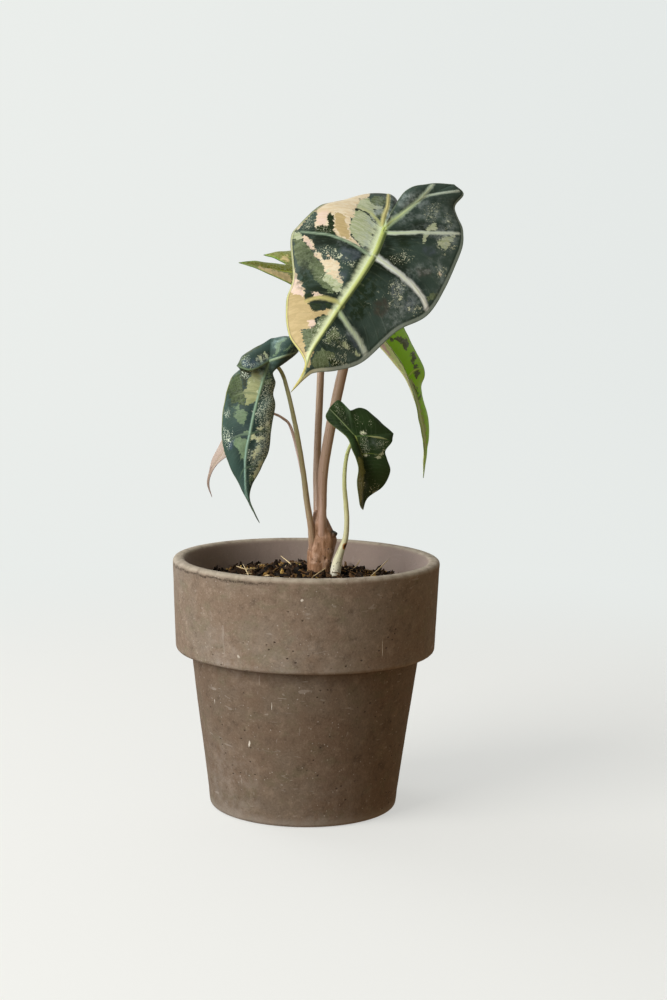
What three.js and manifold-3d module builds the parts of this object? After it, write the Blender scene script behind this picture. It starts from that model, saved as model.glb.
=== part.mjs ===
// A small variegated alocasia growing in a tapered clay pot with a thick rolled collar.
//
// Millimetres, +Z up, Z = 0 where the pot stands. Every place below is measured from the pot's own
// axis, +X to the right and +Y away from the front. The whole plant is then moved by axisX, so that
// X = 0 and Y = 0 are the middle of the part's own box.
//
// A leaf blade is a net. Its stations run from a lobe's tip along the lobe's rib to the junction, where
// the stem meets the blade, and on along the midrib to the leaf's tip. Each station has a place on that
// rib and a place on the edge, and the side vein between them is a raised rib.
import * as THREE from 'three';
import { mergeVertices } from 'three/addons/utils/BufferGeometryUtils.js';
import Module from 'manifold-3d';

// Driving dimensions
const axisX = -3.85;         // puts the middle of the part's box at X = 0
const seam = 0.3;            // gap left where two pieces touch
const grain = 1e-4;          // points closer than this are one point
const sliver = 0.02;         // a cut leaves no edge or ledge finer than this

const pot = {
  height: 122, rimRadius: 65, mouthRadius: 58.9, mouthLean: 0.1, lip: 2.6,
  collarRadius: 63.5, collarBottom: 77.1, collarRound: 2.4, neckRadius: 55.8, coveRound: 1.6,
  footRadius: 45.7, footLean: 0.2, footRound: 1.8,
  innerNeckRadius: 49.6, innerNeckZ: 70, floorRadius: 40.2, floorZ: 8, floorRound: 4,
  drainRadius: 7.5, segments: 48, curveSteps: 3,
};

const soil = {
  wallZ: 107.5, moundZ: 115, moundX: 6, moundSlope: [0.1, 0.95], rings: 6, segments: 36,
  roughness: 0.8, crumbs: 50, crumbRadius: [1.3, 3.1], crumbReach: 51, crumbRise: 0.15,
  crumbShape: [[1, 1.5], [0.8, 1.1], [0.5, 0.9]], seed: 7,
};

// The crown is the swollen, scarred stem base that the stems grow from: height, middle and half widths
const crown = {
  rings: [
    { z: 98, x: 6, y: 0.5, across: 2.6, deep: 2.6 },
    { z: 103, x: 6.4, y: 0.5, across: 4.6, deep: 4.6 },
    { z: 112, x: 6.2, y: 0.5, across: 5.4, deep: 5.2 },
    { z: 118, x: 6.2, y: 0.6, across: 5.5, deep: 5.3 },
    { z: 124, x: 6.9, y: 0.8, across: 6.3, deep: 5.7 },
    { z: 130, x: 8.2, y: 1.2, across: 6.2, deep: 5.9 },
    { z: 134, x: 7.7, y: 2.0, across: 5.2, deep: 6.0 },
    { z: 139, x: 6.3, y: 2.6, across: 4.0, deep: 6.2 },
    { z: 144, x: 5.6, y: 3.2, across: 2.6, deep: 5.0 },
  ],
  sides: 16, endPoint: 1, flutes: 5, fluteDepth: 0.3, fluteTurn: 9,
  stub: { from: [10.6, 0.2, 129.5], to: [13.6, -0.2, 134.6], radius: 1.9, taper: 0.85, sides: 8 },
};

// Stems, from the crown or the soil up to the blade: places and half thicknesses
const stemSides = 8;
const stems = {
  big: {
    path: [[7.6, -1, 128], [7.2, -2, 137], [7.2, -2.2, 148], [8, -3, 170], [16, -4, 213.5],
      [26, 0, 251.5], [33, -2, 272], [34, -14, 280.5]],
    radius: [2.4, 2.3, 2.1, 2.45, 2.4, 2.1, 1.8, 1.5], steps: 18,
  },
  rear: {
    path: [[5.6, 4.5, 128], [5.2, 6.5, 138], [4.8, 9, 148], [4.4, 13, 168], [5.5, 22, 212], [5.5, 30, 236],
      [3.5, 38, 257.5]],
    radius: [2.0, 1.95, 1.9, 1.8, 1.75, 1.6, 1.3], steps: 15,
  },
  drooping: {
    path: [[3.1, -0.5, 126], [2.1, -2, 136], [0.8, -3, 143.5], [-0.6, -4.5, 152], [-2.8, -8, 168],
      [-6.1, -11.5, 186], [-10.2, -13, 203.5], [-13.5, -14, 213], [-18.2, -18.6, 217.6]],
    radius: [2.1, 1.7, 1.5, 1.45, 1.25, 1.15, 1, 0.9, 0.85], steps: 18,
  },
  pink: {
    path: [[3, 5, 128], [1.5, 10, 141], [-2, 13, 158], [-5.5, 13.5, 173], [-9, 13, 184.5],
      [-12.5, 12.5, 188.3], [-17, 12, 190.6], [-22.2, 10.8, 191.6]],
    radius: [1.2, 1.0, 0.9, 0.8, 0.7, 0.65, 0.6, 0.6], steps: 15,
  },
  small: {
    path: [[12, -7.5, 100], [13.5, -8, 112], [14.6, -8.2, 120], [16.6, -9, 127], [18.6, -10, 133.5],
      [19, -11, 142], [18.4, -11, 150], [17.6, -11.5, 158], [17.6, -12, 166.5], [18.8, -13.5, 175],
      [22, -18, 183]],
    radius: [1.7, 2.5, 2.4, 1.75, 1.35, 1.2, 1.15, 1.05, 0.95, 0.9, 0.8], steps: 20,
  },
};

// Every second station, counted from the junction, has a raised side vein. These are the rows drawn on
// the way to the next station, close beside a vein: after a veined station and after a plain one.
const ribbedRows = [[0, 0.14, 0.55], [0, 0.45, 0.86]];
const plainRows = [[0, 0.5], [0, 0.5]];

// Blades: the net's stations, then how the skin between them swells
const blades = {
  big: {
    junction: [34, -14, 280.5], sinus: [35, -13.5, 284],
    midrib: [[31.5, -19, 274], [28.5, -23, 267.5], [21.5, -30, 256], [13.5, -36, 244.5],
      [5.5, -40, 232], [0.5, -42, 223.5], [-3, -43, 213], [-8.5, -42, 205]],
    right: {
      edge: [[71.7, -6, 279.6], [69, -14, 267.2], [56, -26, 242.7], [40, -33, 233.5],
        [24.5, -38, 219.5], [12.5, -41, 215.5], [3, -42.5, 214.5], [-1, -43, 212.5]],
      rib: [[68, 10, 302.5], [57, 2, 297.5], [45, -7, 290]],
      outer: [[72.5, 8, 298], [68, 2, 291]],
      inner: [[56.5, 6, 302.5], [44, -2, 298.5]],
    },
    left: {
      edge: [[4.3, -4, 291.2], [-6.4, -9, 281.4], [-9.8, -14, 274.4], [-8.5, -20, 257.2],
        [-11.3, -28, 245.8], [-10, -34, 231.5], [-3.5, -40.5, 222], [-2.5, -42.5, 216]],
      rib: [[34, 26, 287], [36, 17, 293.5], [37, 4, 296.5]],
      outer: [[19, 18, 291.5], [14, 4, 292.2]],
      inner: [[41, 17, 290.5], [40.5, 3, 293]],
    },
    thickness: 0.9, ribHeight: 1.2, veinHeight: 0.7, dome: 0.05, bow: 0.1, quilt: 0.7, rows: ribbedRows,
  },
  drooping: {
    junction: [-19, -20, 218], sinus: [-18.5, -8, 228],
    midrib: [[-21, -22.5, 211.5], [-23.5, -24, 202.5], [-26, -25, 192.5], [-27.5, -26, 184],
      [-29, -26, 176.5], [-29.5, -25.5, 168], [-28.5, -23, 153.5], [-22.5, -20, 141]],
    right: {
      edge: [[-17, -21, 213], [-16, -20, 208], [-17, -20, 202.5], [-16, -21, 196.8],
        [-17.9, -21.5, 184.5], [-18.6, -22, 176], [-22, -22, 168], [-27.5, -23, 155]],
      rib: [[-5.5, -13, 222.5], [-12, -21, 220.5]],
      outer: [[-10, -17, 218.5]],
      inner: [[-9, -8, 229]],
    },
    left: {
      edge: [[-32.5, -15, 214], [-37, -15, 209], [-40, -16, 197.5], [-41, -18, 186.5],
        [-40, -19, 176.5], [-36, -20, 166], [-32, -21, 159], [-28.5, -23, 152.5]],
      rib: [[-34, -27, 216], [-26.5, -31, 214.5]],
      outer: [[-32.5, -21, 215.5]],
      inner: [[-29.5, -16, 221.5]],
    },
    thickness: 0.85, ribHeight: 0.9, veinHeight: 0.5, dome: 0.08, bow: 0.12, quilt: 0.5, rows: ribbedRows,
  },
  small: {
    junction: [22, -18, 183], sinus: [19.5, -16, 195],
    midrib: [[23.5, -19.5, 179], [25, -20.5, 174.5], [26, -21, 167.5], [26, -20, 160],
      [26, -18.5, 153.5], [26.5, -18, 148]],
    right: {
      edge: [[39.5, -14, 180], [36.5, -16, 176], [37.5, -17, 172], [39, -17, 166.5],
        [36, -16, 159.5], [28.5, -17, 153.6]],
      rib: [[40.5, -11, 184], [31, -16, 183.5]],
      outer: [[40, -12.5, 182]],
      inner: [[26.5, -11, 195.4]],
    },
    left: {
      edge: [[17.9, -20, 182.9], [20.5, -26, 177.5], [23.5, -29, 170], [23, -30, 163], [24, -29, 156.5],
        [25, -24, 150.5]],
      rib: [[9.5, -16, 196], [15.5, -17, 190]],
      outer: [[8.5, -15, 190.5]],
      inner: [[14, -12, 199.5]],
    },
    thickness: 0.8, ribHeight: 0.7, veinHeight: 0.4, dome: 0.06, bow: 0.12, quilt: 0.3, rows: ribbedRows,
  },
  rear: {
    junction: [3.5, 38, 257.5], sinus: [-11.5, 37, 262.5],
    midrib: [[17, 36, 246], [31, 34, 228.5], [42, 34, 216], [48.5, 34, 207.5], [53.5, 35, 196.5],
      [56, 36, 187.5], [58.5, 37, 174], [58, 36, 157.5]],
    right: {
      edge: [[7, 58, 269.5], [26, 60, 256.5], [41.5, 58, 243], [50, 54, 227], [58.1, 48, 211],
        [56.5, 46, 201.5], [60.5, 45, 185.7], [60.3, 42, 173]],
      rib: [[-24, 48, 267.5], [-9.5, 44, 265.5]],
      outer: [[-16, 54, 269]],
      inner: [[-18.5, 43, 266]],
    },
    left: {
      edge: [[0.5, 22, 248], [14.5, 17, 237.5], [32, 18, 231], [43, 22, 219], [48.5, 26, 209.5],
        [52.5, 28, 197], [55, 30, 187], [58, 34, 172]],
      rib: [[-35.5, 24, 263.5], [-19.5, 30, 260]],
      outer: [[-22, 20, 259]],
      inner: [[-26.5, 30, 264.3]],
    },
    thickness: 0.85, ribHeight: 0.9, veinHeight: 0.5, dome: 0.06, bow: 0.12, quilt: 0.4, rows: ribbedRows,
  },
  pink: {
    junction: [-23, 10, 192], sinus: [-21.5, 10, 195.5],
    midrib: [[-27.5, 8, 188], [-34.5, 6, 181], [-42, 5, 170.5], [-47, 5, 163], [-48.5, 5, 156.5],
      [-46.5, 4, 150]],
    right: {
      edge: [[-22.5, 4, 186], [-27.5, 2, 180.5], [-32.5, 1, 175], [-42.5, 3, 168], [-46.5, 4.5, 162.5],
        [-48, 5, 156.5]],
      rib: [[-19, 2, 195.5], [-21, 6, 194]],
      outer: [[-19, 3, 192]],
      inner: [[-19.5, 5, 196.5]],
    },
    left: {
      edge: [[-30.5, 12, 193], [-35.5, 12, 187.5], [-40.5, 10, 180.5], [-46, 7, 170], [-48, 5.5, 163],
        [-49, 5, 156.5]],
      rib: [[-27, 15, 199], [-25, 12, 196]],
      outer: [[-29.5, 15, 197.5]],
      inner: [[-25, 13, 198.5]],
    },
    thickness: 0.75, ribHeight: 0.5, veinHeight: 0.25, dome: 0.06, bow: 0.1, quilt: 0.2, rows: plainRows,
  },
};

// Columns drawn from the rib to the edge
const outerColumns = [0, 0.08, 0.32, 0.62, 0.88, 1];
const innerColumns = [0, 0.14, 0.5, 1];
const fullWidth = 12;        // a strip at least this wide swells fully between its veins
const edgeThinning = 0.75;   // the edge's share of the blade's thickness
const veined = 0.999;        // how near a row lies to a veined station before it carries the vein
const tipTaper = 0.7;        // how much of its height a rib loses on its way out

const materials = {
  clay: new THREE.MeshStandardMaterial({ color: 0x7a6a5c, roughness: 0.9, metalness: 0 }),
  earth: new THREE.MeshStandardMaterial({ color: 0x2b1f18, roughness: 1, metalness: 0 }),
  bark: new THREE.MeshStandardMaterial({ color: 0x96755f, roughness: 0.7, metalness: 0 }),
  pinkStem: new THREE.MeshStandardMaterial({ color: 0xa07f74, roughness: 0.5, metalness: 0 }),
  greenStem: new THREE.MeshStandardMaterial({ color: 0xa9ab78, roughness: 0.5, metalness: 0 }),
  darkLeaf: new THREE.MeshStandardMaterial({ color: 0x24382c, roughness: 0.35, metalness: 0 }),
  brightLeaf: new THREE.MeshStandardMaterial({ color: 0x5a8c24, roughness: 0.4, metalness: 0 }),
  pinkLeaf: new THREE.MeshStandardMaterial({ color: 0xd3b0a2, roughness: 0.5, metalness: 0 }),
};

const wasm = await Module();
wasm.setup();

const vector = (place) => new THREE.Vector3(...place);

// Repeatable random numbers from 0 to 1
function randomSource(seed) {
  let state = seed;
  return () => {
    state = (state * 16807) % 2147483647;
    return state / 2147483647;
  };
}

function solidOf(geometry) {
  const bare = geometry.clone();
  bare.deleteAttribute('normal');
  bare.deleteAttribute('uv');
  const merged = mergeVertices(bare, grain);
  return new wasm.Manifold(new wasm.Mesh({
    numProp: 3,
    vertProperties: new Float32Array(merged.attributes.position.array),
    triVerts: new Uint32Array(merged.index.array),
  }));
}

function geometryOf(solid) {
  const mesh = solid.getMesh();
  const geometry = new THREE.BufferGeometry();
  geometry.setAttribute('position', new THREE.BufferAttribute(mesh.vertProperties, 3));
  geometry.setIndex(new THREE.BufferAttribute(mesh.triVerts, 1));
  geometry.computeVertexNormals();
  return geometry;
}

// The largest of the loose pieces that a cut leaves
function largestPiece(solid) {
  const pieces = solid.decompose();
  return pieces.reduce((best, piece) => (piece.volume() > best.volume() ? piece : best));
}

// A closed skin over rings with the same number of points, with a point at each end
function skin(rings, start, end) {
  const count = rings[0].length;
  const points = [start, ...rings.flat(), end];
  const last = points.length - 1;
  const faces = [];
  const at = (ring, side) => 1 + ring * count + (side % count);
  for (let side = 0; side < count; side += 1) {
    faces.push(0, at(0, side + 1), at(0, side));
    faces.push(last, at(rings.length - 1, side), at(rings.length - 1, side + 1));
    for (let ring = 0; ring < rings.length - 1; ring += 1) {
      faces.push(at(ring, side), at(ring, side + 1), at(ring + 1, side));
      faces.push(at(ring, side + 1), at(ring + 1, side + 1), at(ring + 1, side));
    }
  }
  return indexed(points, faces);
}

function indexed(points, faces) {
  const geometry = new THREE.BufferGeometry().setFromPoints(points);
  geometry.setIndex(faces);
  geometry.computeVertexNormals();
  return geometry;
}

// A stem along a smooth curve, its half thickness following the given values, fatter by `grow`
function stemSolid({ path, radius, steps }, grow = 0) {
  const curve = new THREE.CatmullRomCurve3(path.map(vector), false, 'catmullrom');
  const frames = curve.computeFrenetFrames(steps, false);
  const rings = [];
  for (let step = 0; step <= steps; step += 1) {
    const along = curve.getUtoTmapping(step / steps) * (path.length - 1);
    const station = Math.min(Math.floor(along), path.length - 2);
    const half = THREE.MathUtils.lerp(radius[station], radius[station + 1], along - station) + grow;
    const centre = curve.getPointAt(step / steps);
    rings.push(Array.from({ length: stemSides }, (_, side) => {
      const angle = (side / stemSides) * 2 * Math.PI;
      return centre.clone()
        .addScaledVector(frames.normals[step], Math.cos(angle) * half)
        .addScaledVector(frames.binormals[step], Math.sin(angle) * half);
    }));
  }
  return solidOf(skin(rings, curve.getPointAt(0), curve.getPointAt(1)));
}

// A point of a smooth curve through the places, counted in stations
function curveAt(places, station) {
  const curve = new THREE.CatmullRomCurve3(places.map(vector), false, 'catmullrom');
  return curve.getPoint(THREE.MathUtils.clamp(station / (places.length - 1), 0, 1));
}

// The rib from the lobe's tip to the junction and on to the leaf's tip, with its corner at the junction
function ribAt(lobe, midrib, station) {
  const corner = lobe.length - 1;
  return station < corner ? curveAt(lobe, station) : curveAt(midrib, station - corner);
}

// One strip of a blade between a rib and an edge: rows of points with the height of the rib below each.
// The strip inside a lobe ends at the junction, on a straight row that both lobes share.
function stripRows(blade, rib, edge, columns, end, corner, side) {
  const steps = [];
  for (let station = 0; station < end; station += 1) {
    blade.rows[Math.abs(station - corner) % 2].forEach((part) => steps.push(station + part));
  }
  steps.push(end);
  return steps.map((station) => {
    const base = rib(station);
    const across = curveAt(edge, station).sub(base);
    const width = across.length();
    const tangent = rib(Math.min(station + 0.5, end)).sub(rib(Math.max(station - 0.5, 0))).normalize();
    const up = tangent.clone().cross(across).multiplyScalar(side);
    if (up.length() > grain) up.normalize();
    const ridge = Math.cos((Math.PI / 2) * (station - corner)) ** 2;
    const free = end === corner ? Math.min(1, end - station) : 1;
    const swell = blade.quilt * (1 - ridge) * Math.min(1, width / fullWidth);
    const out = Math.abs(station - corner) / Math.max(corner, end - corner);
    const ribHeight = blade.ribHeight * (1 - tipTaper * out);
    return columns.map((column) => {
      const arch = 4 * column * (1 - column) * width * free;
      const point = base.clone().addScaledVector(across, column);
      point.addScaledVector(up, blade.dome * arch + swell * Math.sin(Math.PI * column));
      point.addScaledVector(tangent, -blade.bow * arch);
      const vein = ridge > veined ? blade.veinHeight * (1 - column) : 0;
      return { point, ribHeight: column === 0 ? ribHeight : vein, column };
    });
  });
}

// Joins strips into one sheet of shared points
function weldSheet(strips) {
  const points = [];
  const faces = [];
  const seen = new Map();
  const place = (item) => {
    const key = item.point.toArray().map((value) => Math.round(value / (10 * grain))).join();
    if (!seen.has(key)) {
      seen.set(key, points.length);
      points.push(item);
    }
    return seen.get(key);
  };
  const face = (a, b, c) => {
    if (a !== b && b !== c && c !== a) faces.push([a, b, c]);
  };
  strips.forEach(({ rows, turned }) => {
    for (let row = 0; row < rows.length - 1; row += 1) {
      for (let column = 0; column < rows[row].length - 1; column += 1) {
        const a = place(rows[row][column]);
        const b = place(rows[row + 1][column]);
        const c = place(rows[row + 1][column + 1]);
        const d = place(rows[row][column + 1]);
        if (turned) {
          face(a, d, b);
          face(d, c, b);
        } else {
          face(a, b, d);
          face(d, b, c);
        }
      }
    }
  });
  return { points, faces };
}

// Gives a sheet its thickness: the upper skin, the ribbed lower skin and the edge between them
function thicken(sheet, thickness, grow) {
  const normals = sheet.points.map(() => new THREE.Vector3());
  sheet.faces.forEach(([a, b, c]) => {
    const ab = sheet.points[b].point.clone().sub(sheet.points[a].point);
    const ac = sheet.points[c].point.clone().sub(sheet.points[a].point);
    const normal = ab.cross(ac);
    [a, b, c].forEach((corner) => normals[corner].add(normal));
  });
  normals.forEach((normal) => normal.normalize());
  const half = (item) => (thickness * THREE.MathUtils.lerp(1, edgeThinning, item.column)) / 2 + grow;
  const upper = sheet.points.map((item, index) => (
    item.point.clone().addScaledVector(normals[index], half(item))));
  const lower = sheet.points.map((item, index) => (
    item.point.clone().addScaledVector(normals[index], -half(item) - item.ribHeight)));
  const count = upper.length;
  const faces = [];
  const open = new Map();
  sheet.faces.forEach(([a, b, c]) => {
    faces.push(a, b, c, count + a, count + c, count + b);
    [[a, b], [b, c], [c, a]].forEach(([from, to]) => {
      if (!open.delete(`${to} ${from}`)) open.set(`${from} ${to}`, [from, to]);
    });
  });
  open.forEach(([from, to]) => {
    faces.push(from, count + from, to, to, count + from, count + to);
  });
  return indexed([...upper, ...lower], faces);
}

function bladeSolid(blade, grow = 0) {
  const midrib = [blade.junction, ...blade.midrib];
  const strips = [];
  [[blade.right, 1], [blade.left, -1]].forEach(([half, side]) => {
    const lobeTip = half.rib[0];
    const lobe = [...half.rib, blade.junction];
    const corner = lobe.length - 1;
    const end = corner + midrib.length - 1;
    const edge = [lobeTip, ...half.outer, ...half.edge, blade.midrib.at(-1)];
    const inner = [lobeTip, ...half.inner, blade.sinus];
    const rib = (station) => ribAt(lobe, midrib, station);
    strips.push({
      rows: stripRows(blade, rib, edge, outerColumns, end, corner, side),
      turned: side < 0,
    });
    strips.push({
      rows: stripRows(blade, rib, inner, innerColumns, corner, corner, -side),
      turned: side > 0,
    });
  });
  return solidOf(thicken(weldSheet(strips), blade.thickness, grow));
}

// The pot is one turned body of clay, with a drain hole through its floor
function potSolid() {
  const wall = new THREE.Path();
  const flat = pot.height - pot.lip;
  wall.moveTo(pot.drainRadius, 0);
  wall.lineTo(pot.footRadius - pot.footRound, 0);
  wall.quadraticCurveTo(pot.footRadius, 0, pot.footRadius + pot.footLean, pot.footRound);
  wall.lineTo(pot.neckRadius, pot.collarBottom - pot.coveRound);
  wall.quadraticCurveTo(
    pot.neckRadius, pot.collarBottom, pot.neckRadius + pot.coveRound, pot.collarBottom);
  wall.lineTo(pot.collarRadius - pot.collarRound, pot.collarBottom);
  wall.quadraticCurveTo(pot.collarRadius, pot.collarBottom,
    pot.collarRadius, pot.collarBottom + pot.collarRound);
  wall.lineTo(pot.rimRadius, flat);
  wall.quadraticCurveTo(pot.rimRadius, pot.height, pot.rimRadius - pot.lip, pot.height);
  wall.lineTo(pot.mouthRadius + pot.lip, pot.height);
  wall.quadraticCurveTo(pot.mouthRadius, pot.height, pot.mouthRadius - pot.mouthLean, flat);
  wall.lineTo(pot.innerNeckRadius, pot.innerNeckZ);
  wall.lineTo(pot.floorRadius, pot.floorZ + pot.floorRound);
  wall.lineTo(pot.floorRadius - pot.floorRound, pot.floorZ);
  wall.lineTo(pot.drainRadius, pot.floorZ);
  wall.lineTo(pot.drainRadius, 0);
  const profile = wall.getPoints(pot.curveSteps);
  const lathe = new THREE.LatheGeometry(profile, pot.segments);
  lathe.rotateX(Math.PI / 2);
  return solidOf(lathe);
}

// The inside of the pot at a height, which the soil fills
function innerRadius(z) {
  const share = (z - pot.innerNeckZ) / (pot.height - pot.lip - pot.innerNeckZ);
  return THREE.MathUtils.lerp(pot.innerNeckRadius, pot.mouthRadius - pot.mouthLean, share);
}

// The soil's top swells gently towards the plant
function soilHeight(x, y) {
  const away = Math.hypot(x - soil.moundX, y) / innerRadius(soil.wallZ);
  const fall = THREE.MathUtils.smoothstep(away, ...soil.moundSlope);
  return THREE.MathUtils.lerp(soil.moundZ, soil.wallZ, fall);
}

function ringAt(radius, z) {
  return Array.from({ length: soil.segments }, (_, side) => {
    const angle = (side / soil.segments) * 2 * Math.PI;
    return new THREE.Vector3(Math.cos(angle) * radius, Math.sin(angle) * radius, z);
  });
}

function soilSolid() {
  const random = randomSource(soil.seed);
  const topRadius = innerRadius(soil.wallZ) - seam;
  const rings = [];
  for (let ring = 1; ring <= soil.rings; ring += 1) {
    const rough = ring < soil.rings ? soil.roughness : 0;
    rings.push(ringAt((topRadius * ring) / soil.rings, 0).map((point) => (
      point.setZ(soilHeight(point.x, point.y) + rough * (2 * random() - 1)))));
  }
  rings.at(-1).forEach((point) => point.setZ(soil.wallZ));
  rings.push(ringAt(pot.innerNeckRadius - seam, pot.innerNeckZ));
  rings.push(ringAt(pot.floorRadius - seam, pot.floorZ + pot.floorRound));
  rings.push(ringAt(pot.floorRadius - pot.floorRound - seam, pot.floorZ + seam));
  const top = new THREE.Vector3(0, 0, soilHeight(0, 0));
  const bottom = new THREE.Vector3(0, 0, pot.floorZ + seam);
  rings.forEach((ring) => ring.reverse());
  const body = solidOf(skin(rings, top, bottom));
  return crumbSolids(random).reduce((whole, crumb) => whole.add(crumb), body);
}

// Crumbs of bark and loam, spread on a spiral and sunk into the soil's top
function crumbSolids(random) {
  const goldenAngle = Math.PI * (3 - Math.sqrt(5));
  return Array.from({ length: soil.crumbs }, (_, index) => {
    const away = soil.crumbReach * Math.sqrt((index + random()) / soil.crumbs);
    const angle = index * goldenAngle + random();
    const size = THREE.MathUtils.lerp(...soil.crumbRadius, random() ** 2);
    const crumb = new THREE.IcosahedronGeometry(size, 0);
    crumb.scale(...soil.crumbShape.map(([least, most]) => THREE.MathUtils.lerp(least, most, random())));
    crumb.rotateX(random() * Math.PI);
    crumb.rotateZ(random() * Math.PI);
    const x = Math.cos(angle) * away;
    const y = Math.sin(angle) * away;
    crumb.translate(x, y, soilHeight(x, y) + size * soil.crumbRise);
    return solidOf(crumb);
  });
}

// The crown's rings are fluted where old leaf sheaths wrap it, and a cut stub stands on its right
function crownSolid(grow = 0) {
  const rings = crown.rings.map((ring) => (
    Array.from({ length: crown.sides }, (_, side) => {
      const angle = (side / crown.sides) * 2 * Math.PI;
      const flute = grow - crown.fluteDepth * Math.cos(crown.flutes * angle + ring.z / crown.fluteTurn);
      return new THREE.Vector3(
        ring.x + Math.cos(angle) * (ring.across + flute),
        ring.y + Math.sin(angle) * (ring.deep + flute),
        ring.z,
      );
    })));
  const low = crown.rings[0];
  const high = crown.rings.at(-1);
  const body = solidOf(skin(
    rings,
    new THREE.Vector3(low.x, low.y, low.z - crown.endPoint - grow),
    new THREE.Vector3(high.x, high.y, high.z + crown.endPoint + grow),
  ));
  return body.add(stubSolid(grow));
}

function stubSolid(grow) {
  const from = vector(crown.stub.from);
  const along = vector(crown.stub.to).sub(from);
  const length = along.length() + grow;
  const width = crown.stub.radius + grow;
  const stub = new THREE.CylinderGeometry(width * crown.stub.taper, width, length, crown.stub.sides);
  stub.translate(0, length / 2, 0);
  stub.applyQuaternion(new THREE.Quaternion().setFromUnitVectors(
    new THREE.Vector3(0, 1, 0), along.normalize()));
  stub.translate(...from.toArray());
  return solidOf(stub);
}

// What a stem must stay clear of at its blade: the blade grown by the seam, and the blade as it is and
// moved back down the stem by the seam, which hold where the grown skin pinches at a fold
function bladeCutters(name) {
  const path = stems[name].path.map(vector);
  const back = path.at(-2).clone().sub(path.at(-1)).setLength(seam);
  const blade = bladeSolid(blades[name]);
  return [bladeSolid(blades[name], seam), blade, blade.translate(back.toArray())];
}

// Each stem is trimmed by its blade, the crown and the stems already placed, leaving the seam between
function stemSolids() {
  const order = ['big', 'rear', 'drooping', 'pink', 'small'];
  const cutters = [crownSolid(seam)];
  const solids = {};
  order.forEach((name) => {
    const trimmed = [...cutters, ...bladeCutters(name)]
      .reduce((whole, cutter) => whole.subtract(cutter), stemSolid(stems[name]));
    solids[name] = largestPiece(trimmed).asOriginal().simplify(sliver);
    cutters.push(stemSolid(stems[name], seam));
  });
  return solids;
}

function piece(name, solid, material) {
  const mesh = new THREE.Mesh(geometryOf(solid), material);
  mesh.name = name;
  return mesh;
}

const plant = new THREE.Group();
const stemPieces = stemSolids();
const soilBody = soilSolid()
  .subtract(crownSolid(seam))
  .subtract(stemSolid(stems.small, seam));

plant.add(piece('pot', potSolid(), materials.clay));
plant.add(piece('soil', largestPiece(soilBody).asOriginal().simplify(sliver), materials.earth));
plant.add(piece('crown', crownSolid(), materials.bark));
plant.add(piece('stem_big_leaf', stemPieces.big, materials.pinkStem));
plant.add(piece('stem_rear_leaf', stemPieces.rear, materials.pinkStem));
plant.add(piece('stem_drooping_leaf', stemPieces.drooping, materials.greenStem));
plant.add(piece('stem_pink_leaf', stemPieces.pink, materials.pinkStem));
plant.add(piece('stem_small_leaf', stemPieces.small, materials.greenStem));
plant.add(piece('blade_big_leaf', bladeSolid(blades.big), materials.darkLeaf));
plant.add(piece('blade_rear_leaf', bladeSolid(blades.rear), materials.brightLeaf));
plant.add(piece('blade_drooping_leaf', bladeSolid(blades.drooping), materials.darkLeaf));
plant.add(piece('blade_pink_leaf', bladeSolid(blades.pink), materials.pinkLeaf));
plant.add(piece('blade_small_leaf', bladeSolid(blades.small), materials.darkLeaf));
plant.position.x = axisX;

export default plant;
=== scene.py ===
# A small variegated alocasia in a tapered clay pot, dressed around its packed solids.
#
# Places in the lists below are millimetres, +Z up from where the pot stands, measured from the pot's
# own axis, +X to the right and +Y away from the front. placed() turns them into the frame's metres.
#
# A leaf blade is a net. Its stations run from a lobe's tip along the lobe's rib to the junction, where
# the stem meets the blade, and on along the midrib to the leaf's tip. Columns run from the rib, at 0, to
# the edge, at 1.
import math

import bpy
import numpy as np
from bpy.props import (
    FloatProperty,
    FloatVectorProperty,
    IntProperty,
    PointerProperty,
)
from mathutils import Matrix, Vector, noise
from mathutils.bvhtree import BVHTree


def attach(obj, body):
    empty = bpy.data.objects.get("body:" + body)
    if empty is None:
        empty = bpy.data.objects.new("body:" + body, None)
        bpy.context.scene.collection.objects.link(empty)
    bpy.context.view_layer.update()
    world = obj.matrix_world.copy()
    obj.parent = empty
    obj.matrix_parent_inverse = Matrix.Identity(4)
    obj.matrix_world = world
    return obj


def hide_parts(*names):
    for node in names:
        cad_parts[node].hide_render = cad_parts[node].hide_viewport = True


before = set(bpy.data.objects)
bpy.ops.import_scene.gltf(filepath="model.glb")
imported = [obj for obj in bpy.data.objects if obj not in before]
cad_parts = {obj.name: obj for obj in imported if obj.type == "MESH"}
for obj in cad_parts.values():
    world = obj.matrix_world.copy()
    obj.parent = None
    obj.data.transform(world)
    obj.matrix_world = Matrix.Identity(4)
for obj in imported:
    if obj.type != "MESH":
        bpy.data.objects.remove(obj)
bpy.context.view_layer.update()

bl_info = {
    "name": "Potted variegated alocasia",
    "version": (1, 0, 0),
    "blender": (4, 5, 0),
    "location": "3D View > Sidebar > Alocasia",
    "description": "Builds the looks of a small variegated alocasia in a clay pot",
    "category": "Add Mesh",
}

MM = 0.001
AXIS_X = -3.85               # where the pot's axis stands in the frame
FLOOR_GAP = 0.0002           # metres from the pot's foot down to the floor

# The eye that the plant is seen from, and the way it looks
EYE = (0.0, -902.0, 267.0)
EYE_PITCH = 7.38             # degrees down
EYE_YAW = 0.80               # degrees to the right
EYE_ROLL = 1.00              # degrees
EYE_LENS = 67.5              # for a 36 mm wide sensor

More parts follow.
